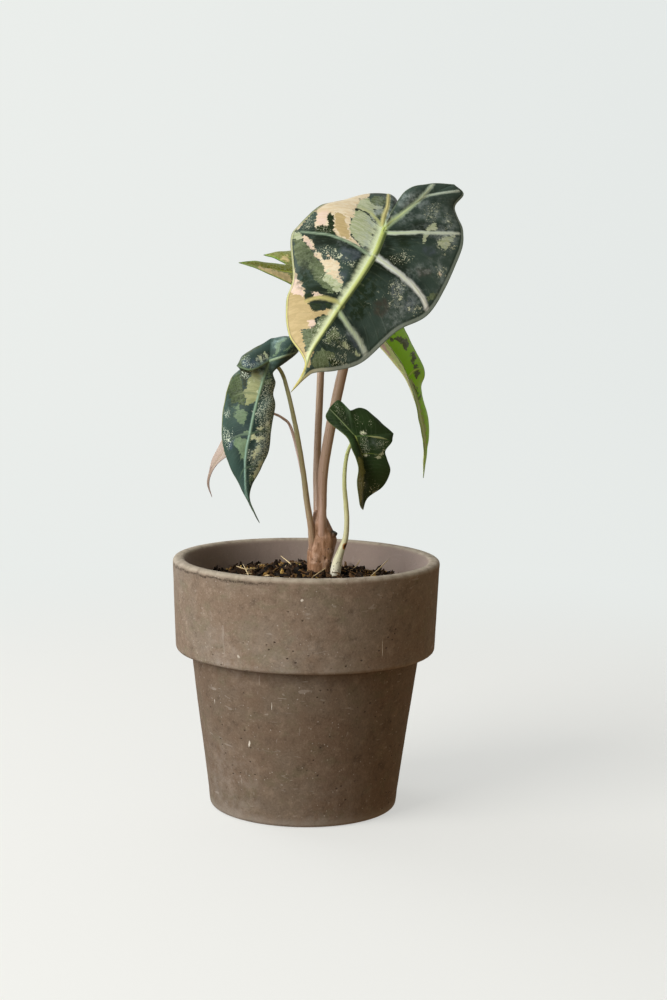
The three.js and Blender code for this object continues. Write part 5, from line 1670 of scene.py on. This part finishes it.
def leaf_skin(name, look, marks):
    """The skin of one leaf blade, with fine ribs across it and a satin gloss."""
    skin = LeafSkin(name, look, marks)
    skin.paint_ground()
    skin.paint_patches()
    if "fleck" in marks:
        skin.paint_flecks()
    skin.paint_sheen()
    ribs = skin.node("TexWave", {
        "Vector": skin.grain((0.1, 0.012, 0)), "Scale": 1.3, "Distortion": 2.6, "Detail": 2.0,
        "Detail Scale": 1.2}, output=1, wave_type="BANDS", bands_direction="X")
    ribs = skin.times(skin.step(ribs, 0.86, 1.0), skin.step(skin.middle, 0.35, 0.6))
    skin.coat(skin.times(ribs, 0.05), skin.tones["net"])
    skin.paint_veins()
    skin.paint_margin()
    skin.paint_underside()
    skin.bumps(skin.math("MULTIPLY_ADD", ribs, 0.5, skin.times(skin.fine, 0.5)), 0.4, 0.0004)
    gloss = skin.math("MULTIPLY_ADD", skin.middle, 0.16, look["roughness"] - 0.08)
    return skin.finish(skin.math("MULTIPLY_ADD", skin.field("under"), 0.18, gloss))


class ClaySkin(Finish):
    """Matte grey-brown clay."""

    def __init__(self, settings):
        super().__init__("matte_clay", settings.clay, 0.86, 0.25)
        self.settings = settings
        self.slow = self.noise(self.spot, 34, 3, 0.6)
        self.middle = self.noise(self.spot, 190, 4, 0.7)
        self.fine = self.noise(self.spot, 1000, 3, 0.75)
        self.height = self.part(self.spot, "Z")
        self.ragged = self.math("MULTIPLY_ADD", self.middle, 0.006, self.height)

    def mottle(self):
        """Stretches of warmer, olive, paler and darker clay, and painted shade below the collar."""
        settings = self.settings
        other = self.noise(self.place((1, 1, 1.6)), 85, 4, 0.65)
        self.coat(self.step(self.slow, 0.36, 0.62), settings.clay_warm)
        self.coat(self.step(other, 0.5, 0.66, 0.0, 0.6), settings.clay_olive)
        self.coat(self.step(other, 0.28, 0.42, 0.45, 0.0), settings.clay_dark)
        self.coat(self.step(self.middle, 0.5, 0.74, 0.0, 0.7), settings.clay_pale)
        self.coat(self.step(self.middle, 0.26, 0.46, 0.65, 0.0), settings.clay_dark)
        self.coat(self.step(self.fine, 0.52, 0.74, 0.0, 0.7), settings.clay_pale)
        self.coat(self.step(self.fine, 0.24, 0.46, 0.65, 0.0), settings.clay_dark)
        # Painted shade: the wall below the collar is darkened, as less light falls on it there
        edge = settings.collar_bottom
        self.coat(self.step(self.height, edge - MM, edge + MM, 1.0, 0.0), settings.shade_below_collar, "MULTIPLY")

    def chalk(self):
        """Chalky bloom in spots and at the foot, painted highlight along the collar's edge, chalky specks,
        scuffs.
        """
        chalk, edge = self.settings.bloom, self.settings.collar_bottom
        patchy = self.step(self.noise(self.spot, 150, 5, 0.75), 0.36, 0.74)
        for spot in BLOOMS:
            bloom = self.near(self.spot, tuple(placed(spot["place"])), spot["core"], spot["reach"])
            self.coat(self.times(self.times(bloom, patchy), spot["share"]), chalk)
        self.coat(self.step(self.ragged, 0.004, 0.009, 0.3, 0.0), chalk)
        # Painted highlight: a pale band, in the bloom's colour, along the collar's rounded lower edge where
        # the light catches it
        above = self.step(self.height, edge, edge + 0.0005)
        low = self.times(above, self.step(self.ragged, edge + 0.003, edge + 0.008, 0.4, 0.0))
        self.coat(self.times(low, patchy), chalk)
        specks = self.step(self.cells(self.spot, 380), 0.08, 0.14, 0.75, 0.0)
        self.coat(self.times(specks, self.step(self.noise(self.spot, 60, 1), 0.44, 0.56)), chalk)
        upright = self.noise(self.place((1, 1, 0.16)), 420, 1, 0.4, 1.4)
        upright = self.times(self.step(upright, 0.725, 0.75), self.step(self.slow, 0.48, 0.6))
        flat = self.noise(self.place((0.22, 0.22, 1.0)), 500, 1, 0.4, 1.2)
        flat = self.times(self.step(flat, 0.7, 0.74), self.step(self.slow, 0.44, 0.56, 1.0, 0.0))
        self.coat(self.times(self.math("MAXIMUM", upright, flat), 0.35), chalk)

    def scratch(self, mark):
        """A long thin spot between two places, with ragged sides."""
        start, end = (np.array(placed(mark[spot])) for spot in ("from", "to"))
        turn = Vector(end - start).to_track_quat("X", "Z").to_euler()
        half = mark["width"] * MM / 2
        size = (float(np.linalg.norm(end - start)) / 2 + half, half, 4 * half)
        local = self.node("Mapping", {
            "Vector": self.spot, "Location": tuple((start + end) / 2), "Rotation": turn,
            "Scale": size}, vector_type="TEXTURE")
        away = self.node("VectorMath", {0: local}, output="Value", operation="LENGTH")
        away = self.sway(self.fine, 1.2, away)
        self.coat(self.step(away, 0.7, 1.15, 0.85, 0.0), self.settings.scratch)

    def pit(self):
        """Dark pits, and the line worn under the rim on the left: how deep they are."""
        pits = self.step(self.cells(self.place((1, 1, 1.4)), 240), 0.09, 0.15, 0.85, 0.0)
        pits = self.times(pits, self.step(self.noise(self.spot, 45, 1), 0.53, 0.62))
        worn = self.math("ABSOLUTE", self.math("SUBTRACT", self.ragged, WORN_LINE_Z * MM))
        worn = self.times(self.step(worn, 0.0002, 0.0008, 1.0, 0.0), self.step(self.fine, 0.36, 0.6))
        worn = self.times(worn, self.step(self.part(self.spot, "X"), -0.03, -0.008, 0.8, 0.0))
        worn = self.times(worn, self.step(self.part(self.spot, "Y"), -0.02, 0.0, 1.0, 0.0))
        pits = self.math("MAXIMUM", pits, worn)
        self.coat(pits, self.settings.pit)
        return pits


def clay_skin(settings):
    """Clay: mottled, specked and scratched, with chalky bloom, pits, painted shade and highlights and a worn
    rim.
    """
    skin = ClaySkin(settings)
    skin.mottle()
    skin.chalk()
    for mark in SCRATCHES:
        skin.scratch(mark)
    pits = skin.pit()
    skin.coat(skin.times(skin.field("inside"), 0.75), settings.inside)
    # The rim's top is paled partly by wear and partly as a painted highlight, where the light falls on it
    worn = skin.step(skin.middle, 0.3, 0.6, 0.25, 0.65)
    skin.coat(skin.times(skin.field("lip"), worn), settings.lip_wear_and_highlight)
    relief = skin.math("MULTIPLY_ADD", skin.fine, 0.5, skin.times(skin.middle, 0.8))
    skin.bumps(skin.math("SUBTRACT", relief, skin.times(pits, 1.2)), 0.55, 0.0006)
    return skin.finish(skin.step(skin.middle, 0.3, 0.7, 0.78, 0.95))


def soil_skin(name, stops, lumps):
    """Soil, bark or straw: a tint for each lump, or patches of tint over the bed."""
    skin = Finish(name, BLACK, 0.9, 0.2)
    fine = skin.noise(skin.spot, 1500, 3, 0.7)
    tint = skin.field("tint") if lumps else skin.noise(skin.spot, 420, 4, 0.75)
    skin.colour = skin.ramp(skin.sway(fine, 0.35, tint), stops)
    skin.bumps(fine, 0.7, 0.0006)
    return skin.finish()


def crown_skin(settings):
    """Pinkish brown stem base: upright streaks, small dark pits, paler ridges and a dark cut stub."""
    skin = Finish("stem_base_skin", settings.skin_dark, 0.6, 0.4)
    streaks = skin.noise(skin.place((1, 1, 0.22)), 620, 4, 0.65, 0.6)
    patches = skin.noise(skin.spot, 170, 3, 0.6)
    fine = skin.noise(skin.spot, 1600, 2, 0.6)
    skin.coat(skin.step(streaks, 0.34, 0.66), settings.skin)
    skin.coat(skin.step(patches, 0.48, 0.68, 0.0, 0.7), settings.skin_pale)
    skin.coat(skin.step(patches, 0.28, 0.42, 0.75, 0.0), settings.skin_dark)
    pits = skin.step(skin.cells(skin.place((1, 1, 0.8)), 420), 0.12, 0.2, 0.85, 0.0)
    pits = skin.times(pits, skin.step(patches, 0.42, 0.6))
    skin.coat(pits, settings.pit)
    skin.coat(skin.field("cut"), settings.stub)
    skin.coat(skin.step(skin.part(skin.spot, "Z"), 0.113, 0.121, 0.8, 0.0), settings.skin_dark)
    relief = skin.math("SUBTRACT", streaks, skin.times(pits, 0.5))
    skin.bumps(skin.math("MULTIPLY_ADD", fine, 0.3, relief), 0.6, 0.0007)
    return skin.finish()


def stem_skin(name, look):
    """Leaf stem: a colour along its length, long pale and dark streaks, dark specks and at most one scar."""
    skin = Finish(name, BLACK, 0.48, 0.45)
    speck = srgb(*look["speck"])
    streaks = skin.noise(skin.grain((1, 1, 2.5)), 2.2, 3, 0.6)
    fine = skin.noise(skin.spot, 1300, 3, 0.6)
    blotch = skin.noise(skin.spot, 240, 2, 0.6)
    skin.colour = skin.ramp(skin.sway(blotch, 0.16, skin.field("along")), look["tones"])
    skin.coat(skin.step(streaks, 0.46, 0.7, 0.0, 0.55), srgb(*look["pale"]))
    skin.coat(skin.step(streaks, 0.26, 0.44, 0.45, 0.0), speck)
    dots = skin.step(skin.cells(skin.place((1, 1, 0.55)), 900), 0.16, 0.26, 1.0, 0.0)
    skin.coat(skin.times(dots, skin.step(blotch, 0.42, 0.62, 0.0, look["specks"])), speck)
    if "scar" in look:
        scar = skin.sway(fine, 0.9, skin.near(skin.spot, tuple(placed(look["scar"])), 0.0006, 0.0024))
        skin.coat(skin.step(scar, 0.1, 0.4), SCAR_EDGE)
        skin.coat(skin.step(scar, 0.5, 0.8), SCAR)
    skin.bumps(skin.math("ADD", fine, streaks), 0.25, 0.0004)
    return skin.finish()


def plain_backdrop(settings):
    """The pale floor, which takes the plant's soft shadow, and beyond it an evenly bright backdrop."""
    skin = Finish("pale_backdrop", BLACK, 0.95, 0.0)
    near = skin.near(skin.spot, (0, 0, 0), settings.reach * 0.1, settings.reach * 0.3)
    side = skin.step(skin.part(skin.spot, "X"), -1.0, 1.0)
    glow = skin.mix(near, skin.mix(side, settings.wall, settings.wall_right), settings.floor_glow)
    skin.feed(skin.shader.inputs["Emission Color"], glow)
    skin.shader.inputs["Emission Strength"].default_value = 1.0
    skin.coat(near, settings.floor)
    return skin.finish()


# Sizes and colours that a user would change

def length(name, description, default):
    return FloatProperty(
        name=name, description=description, default=default, min=0, unit="LENGTH", precision=5)


def colour(name, description, default):
    return FloatVectorProperty(
        name=name, description=description, default=srgb(*default), min=0, max=1, size=3,
        subtype="COLOR")


def number(name, description, default):
    return IntProperty(name=name, description=description, default=default, min=1)


class AlocasiaPotSettings(bpy.types.PropertyGroup):
    """Sizes and colours of the clay pot"""
    height: length("Height", "From the foot to the rim", 0.122)
    rim_radius: length("Rim radius", "Outside of the rim", 0.065)
    mouth_radius: length("Mouth radius", "Inside of the rim", 0.0589)
    collar_radius: length("Collar radius", "Outside of the collar's lower edge", 0.0635)
    collar_bottom: length("Collar bottom", "Height of the collar's underside", 0.0771)
    neck_radius: length("Neck radius", "Outside of the wall below the collar", 0.0558)
    foot_radius: length("Foot radius", "Outside of the foot", 0.0457)
    sides: number("Sides", "Points round the pot", 256)
    clay: colour("Clay", "Main colour of the clay", (131, 118, 104))
    clay_warm: colour("Warm clay", "Pinkish brown stretches", (130, 112, 96))
    clay_olive: colour("Olive clay", "Greyish olive mottling", (124, 116, 96))
    clay_pale: colour("Pale clay", "Paler mottling", (158, 142, 126))
    clay_dark: colour("Dark clay", "Darker mottling", (90, 77, 65))
    # Painted shade: darkens the wall below the collar, where less light falls
    shade_below_collar: colour("Damp", "Tints the wall below the collar, where the soil keeps it damp", (224, 220, 216))
    bloom: colour("Bloom", "Chalky bloom", (178, 170, 162))
    scratch: colour("Scratch", "Pale scratches", (226, 219, 208))
    pit: colour("Pit", "Pits and the worn line under the rim", (58, 47, 40))
    # Pale rim: partly wear, partly painted highlight on the rim's top
    lip_wear_and_highlight: colour("Rim", "Worn rim", (190, 180, 164))
    inside: colour("Inside", "Clay of the wall inside the mouth", (152, 137, 131))


class AlocasiaSoilSettings(bpy.types.PropertyGroup):
    """Crumbs on the soil"""
    crumbs: number("Crumbs", "Crumbs of bark and peat", 2100)
    straws: number("Straws", "Thin bits of root and fibre", 280)
    seed: number("Seed", "Start of the random draw", 7)


class AlocasiaStemSettings(bpy.types.PropertyGroup):
    """Sizes and colours of the stems and the stem base"""
    steps: number("Steps", "Rings along a stem", 150)
    sides: number("Sides", "Points round a stem", 24)
    tuck: length("Tuck", "How far a stem's end stays below its blade's middle", 0.00015)
    skin: colour("Skin", "Pinkish brown skin of the stem base", (170, 130, 102))
    skin_pale: colour("Pale skin", "Paler ridges", (206, 172, 150))
    skin_dark: colour("Dark skin", "Dark streaks", (124, 88, 58))
    pit: colour("Pit", "Small pits and scars", (62, 42, 28))
    stub: colour("Stub", "Cut end of the old leaf stem", (44, 40, 30))


class AlocasiaLeafSettings(bpy.types.PropertyGroup):
    """Fineness and thickness of the leaf blades"""
    rows: number("Rows", "Rows of points between two stations", 22)
    columns: number("Columns", "Columns of points from the rib to the edge", 44)
    thickness: length("Thickness", "Of the blade between its veins", 0.0006)
    vein_lift: FloatProperty(
        name="Vein lift", description="How far a vein stands proud above, in half widths of its core",
        default=0.5, min=0)


class AlocasiaStageSettings(bpy.types.PropertyGroup):
    """Light, floor and backdrop"""
    reach: length("Reach", "Radius of the floor", 2.4)
    key: FloatProperty(name="Window light", description="Light from the left", default=28, unit="POWER")
    back: FloatProperty(name="Rear light", description="Light from the left rear", default=6, unit="POWER")
    sky: colour("Sky", "Light from above and all sides", (130, 122, 108))
    sky_left: colour("Left sky", "Light from above on the left", (190, 194, 196))
    bounce: colour("Bounce", "Warm light thrown back from below", (150, 120, 84))
    bounce_left: colour("Left bounce", "Light thrown back from below on the left", (124, 116, 108))
    floor: colour("Floor", "Colour of the floor", (163, 163, 161))
    floor_glow: colour("Floor glow", "Evens out the floor's brightness", (190, 191, 189))
    wall: colour("Wall", "Brightness of the backdrop on the left", (235, 238, 235))
    wall_right: colour("Right wall", "Brightness of the backdrop on the right", (229, 233, 231))


# Operators

class ALOCASIA_OT_stage(bpy.types.Operator):
    """Adds the eye, the pale floor and backdrop and the soft light from the left"""
    bl_idname = "alocasia.stage"
    bl_label = "Stage"

    def execute(self, context):
        settings = context.scene.alocasia_stage
        add_camera(context)
        add_backdrop(settings)
        add_lights(context, settings)
        context.scene.view_settings.view_transform = "Standard"
        return {"FINISHED"}


def add_camera(context):
    right, up, forward = eye_axes()
    camera = bpy.data.objects.new("eye", bpy.data.cameras.new("eye"))
    camera.data.sensor_width = 36
    camera.data.lens = EYE_LENS
    camera.data.clip_end = 20
    camera.matrix_world = Matrix.Translation(placed([EYE])[0]) @ Matrix(
        np.column_stack([right, up, -forward]).tolist()).to_4x4()
    context.scene.collection.objects.link(camera)
    context.scene.camera = camera


def add_backdrop(settings):
    """One floor that curves up into a wall all round; it neither shades nor tints the plant."""
    reach = settings.reach
    profile = np.vstack([
        straight((0, 0), (reach, 0), 0.3),
        bend((reach, 0), (reach * 1.5, 0), (reach * 1.5, reach * 0.5), 24),
        [(reach * 1.5, reach * 2.2)],
    ])
    sides = 96
    rings = [level_ring(radius, z - FLOOR_GAP, sides) for radius, z in profile]
    points = np.vstack([*rings, [[0, 0, -FLOOR_GAP]]])
    faces = [face[::-1] for face in ring_faces(len(profile), sides)]
    faces.extend((len(points) - 1, side, (side + 1) % sides) for side in range(sides))
    backdrop = make_mesh("backdrop", points, faces)
    backdrop.data.materials.append(plain_backdrop(settings))
    backdrop.visible_shadow = False
    backdrop.visible_diffuse = False
    backdrop.visible_glossy = False


def add_lights(context, settings):
    """A window on the left, a weak one behind it, and dim light from all round, warm on the right."""
    world = bpy.data.worlds.new("soft_room")
    world.use_nodes = True
    room = Nodes(world.node_tree)
    heading = room.node("TexCoord", {}, output="Generated")
    left = room.step(room.part(heading, "X"), -0.8, 0.3, 1.0, 0.0)
    above = room.mix(left, settings.sky, settings.sky_left)
    below = room.mix(left, settings.bounce, settings.bounce_left)
    behind = room.step(room.part(heading, "Y"), 0.3, 0.95, 0.0, 0.85)
    upright = room.step(room.part(heading, "Z"), -0.25, 0.1)
    glow = room.mix(upright, below, room.mix(behind, above, settings.wall))
    room.feed(world.node_tree.nodes["Background"].inputs["Color"], glow)
    context.scene.world = world
    for name, place, size, power, tint in (
            ("window", (-1.18, -0.86, 0.78), 1.1, settings.key, (255, 252, 246)),
            ("window_back", (-1.1, 0.9, 0.9), 0.9, settings.back, (250, 252, 255))):
        lamp = bpy.data.lights.new(name, "AREA")
        lamp.size = size
        lamp.energy = power
        lamp.color = srgb(*tint)
        holder = bpy.data.objects.new(name, lamp)
        holder.location = place
        aim = Vector((0, 0, 0.15)) - Vector(place)
        holder.rotation_euler = aim.to_track_quat("-Z", "Y").to_euler()
        context.scene.collection.objects.link(holder)


class ALOCASIA_OT_pot(bpy.types.Operator):
    """Turns the clay pot"""
    bl_idname = "alocasia.pot"
    bl_label = "Pot"

    def execute(self, context):
        settings = context.scene.alocasia_pot
        dress(pot_piece(settings), clay_skin(settings), "clay", "pot")
        return {"FINISHED"}


class ALOCASIA_OT_soil(bpy.types.Operator):
    """Fills the pot with soil and strews it with crumbs and straws"""
    bl_idname = "alocasia.soil"
    bl_label = "Soil"

    def execute(self, context):
        settings = context.scene.alocasia_soil
        dress(soil_bed(), soil_skin("peat", PEAT_TINTS, False), "earth", "soil")
        dress(soil_crumbs(settings), soil_skin("crumbs", CRUMB_TINTS, True), "earth")
        dress(soil_straws(settings), soil_skin("straws", STRAW_TINTS, True), "earth")
        return {"FINISHED"}


class ALOCASIA_OT_stem_base(bpy.types.Operator):
    """Grows the swollen stem base with its cut stub"""
    bl_idname = "alocasia.stem_base"
    bl_label = "Stem base"

    def execute(self, context):
        settings = context.scene.alocasia_stems
        dress(crown_piece(), crown_skin(settings), "bark", "crown")
        return {"FINISHED"}


class ALOCASIA_OT_stems(bpy.types.Operator):
    """Grows the five leaf stems"""
    bl_idname = "alocasia.stems"
    bl_label = "Leaf stems"

    def execute(self, context):
        settings = context.scene.alocasia_stems
        for blade, look in STEM_LOOKS.items():
            dress(stem_piece(f"{blade}_leaf_stem", blade, settings),
                  stem_skin(f"{blade}_stem_skin", look), look["slot"], f"stem_{blade}_leaf")
        return {"FINISHED"}


class ALOCASIA_OT_blades(bpy.types.Operator):
    """Grows the five leaf blades"""
    bl_idname = "alocasia.blades"
    bl_label = "Leaf blades"

    def execute(self, context):
        settings = context.scene.alocasia_leaves
        for blade, look in LEAF_LOOKS.items():
            skin = leaf_skin(f"{blade}_leaf_skin", look, patches_of(blade))
            dress(blade_piece(f"{blade}_leaf", blade, settings), skin, look["slot"],
                  f"blade_{blade}_leaf")
        return {"FINISHED"}


class ALOCASIA_PT_panel(bpy.types.Panel):
    """Lists the steps that build the plant"""
    bl_label = "Potted alocasia"
    bl_idname = "ALOCASIA_PT_panel"
    bl_space_type = "VIEW_3D"
    bl_region_type = "UI"
    bl_category = "Alocasia"

    def draw(self, context):
        for operator in OPERATORS:
            self.layout.operator(operator.bl_idname)
        for group in SETTINGS:
            self.layout.label(text=SETTINGS[group].__doc__)
            for name in SETTINGS[group].__annotations__:
                self.layout.prop(getattr(context.scene, group), name)


SETTINGS = {
    "alocasia_stage": AlocasiaStageSettings,
    "alocasia_pot": AlocasiaPotSettings,
    "alocasia_soil": AlocasiaSoilSettings,
    "alocasia_stems": AlocasiaStemSettings,
    "alocasia_leaves": AlocasiaLeafSettings,
}
OPERATORS = (
    ALOCASIA_OT_stage,
    ALOCASIA_OT_pot,
    ALOCASIA_OT_soil,
    ALOCASIA_OT_stem_base,
    ALOCASIA_OT_stems,
    ALOCASIA_OT_blades,
)


def register():
    for group, settings in SETTINGS.items():
        bpy.utils.register_class(settings)
        setattr(bpy.types.Scene, group, PointerProperty(type=settings))
    for part in (*OPERATORS, ALOCASIA_PT_panel):
        bpy.utils.register_class(part)


def unregister():
    for part in (ALOCASIA_PT_panel, *reversed(OPERATORS)):
        bpy.utils.unregister_class(part)
    for group, settings in SETTINGS.items():
        delattr(bpy.types.Scene, group)
        bpy.utils.unregister_class(settings)


def main():
    register()
    bpy.ops.alocasia.stage()
    bpy.ops.alocasia.pot()
    bpy.ops.alocasia.soil()
    bpy.ops.alocasia.stem_base()
    bpy.ops.alocasia.stems()
    bpy.ops.alocasia.blades()


if __name__ == "__main__":
    main()
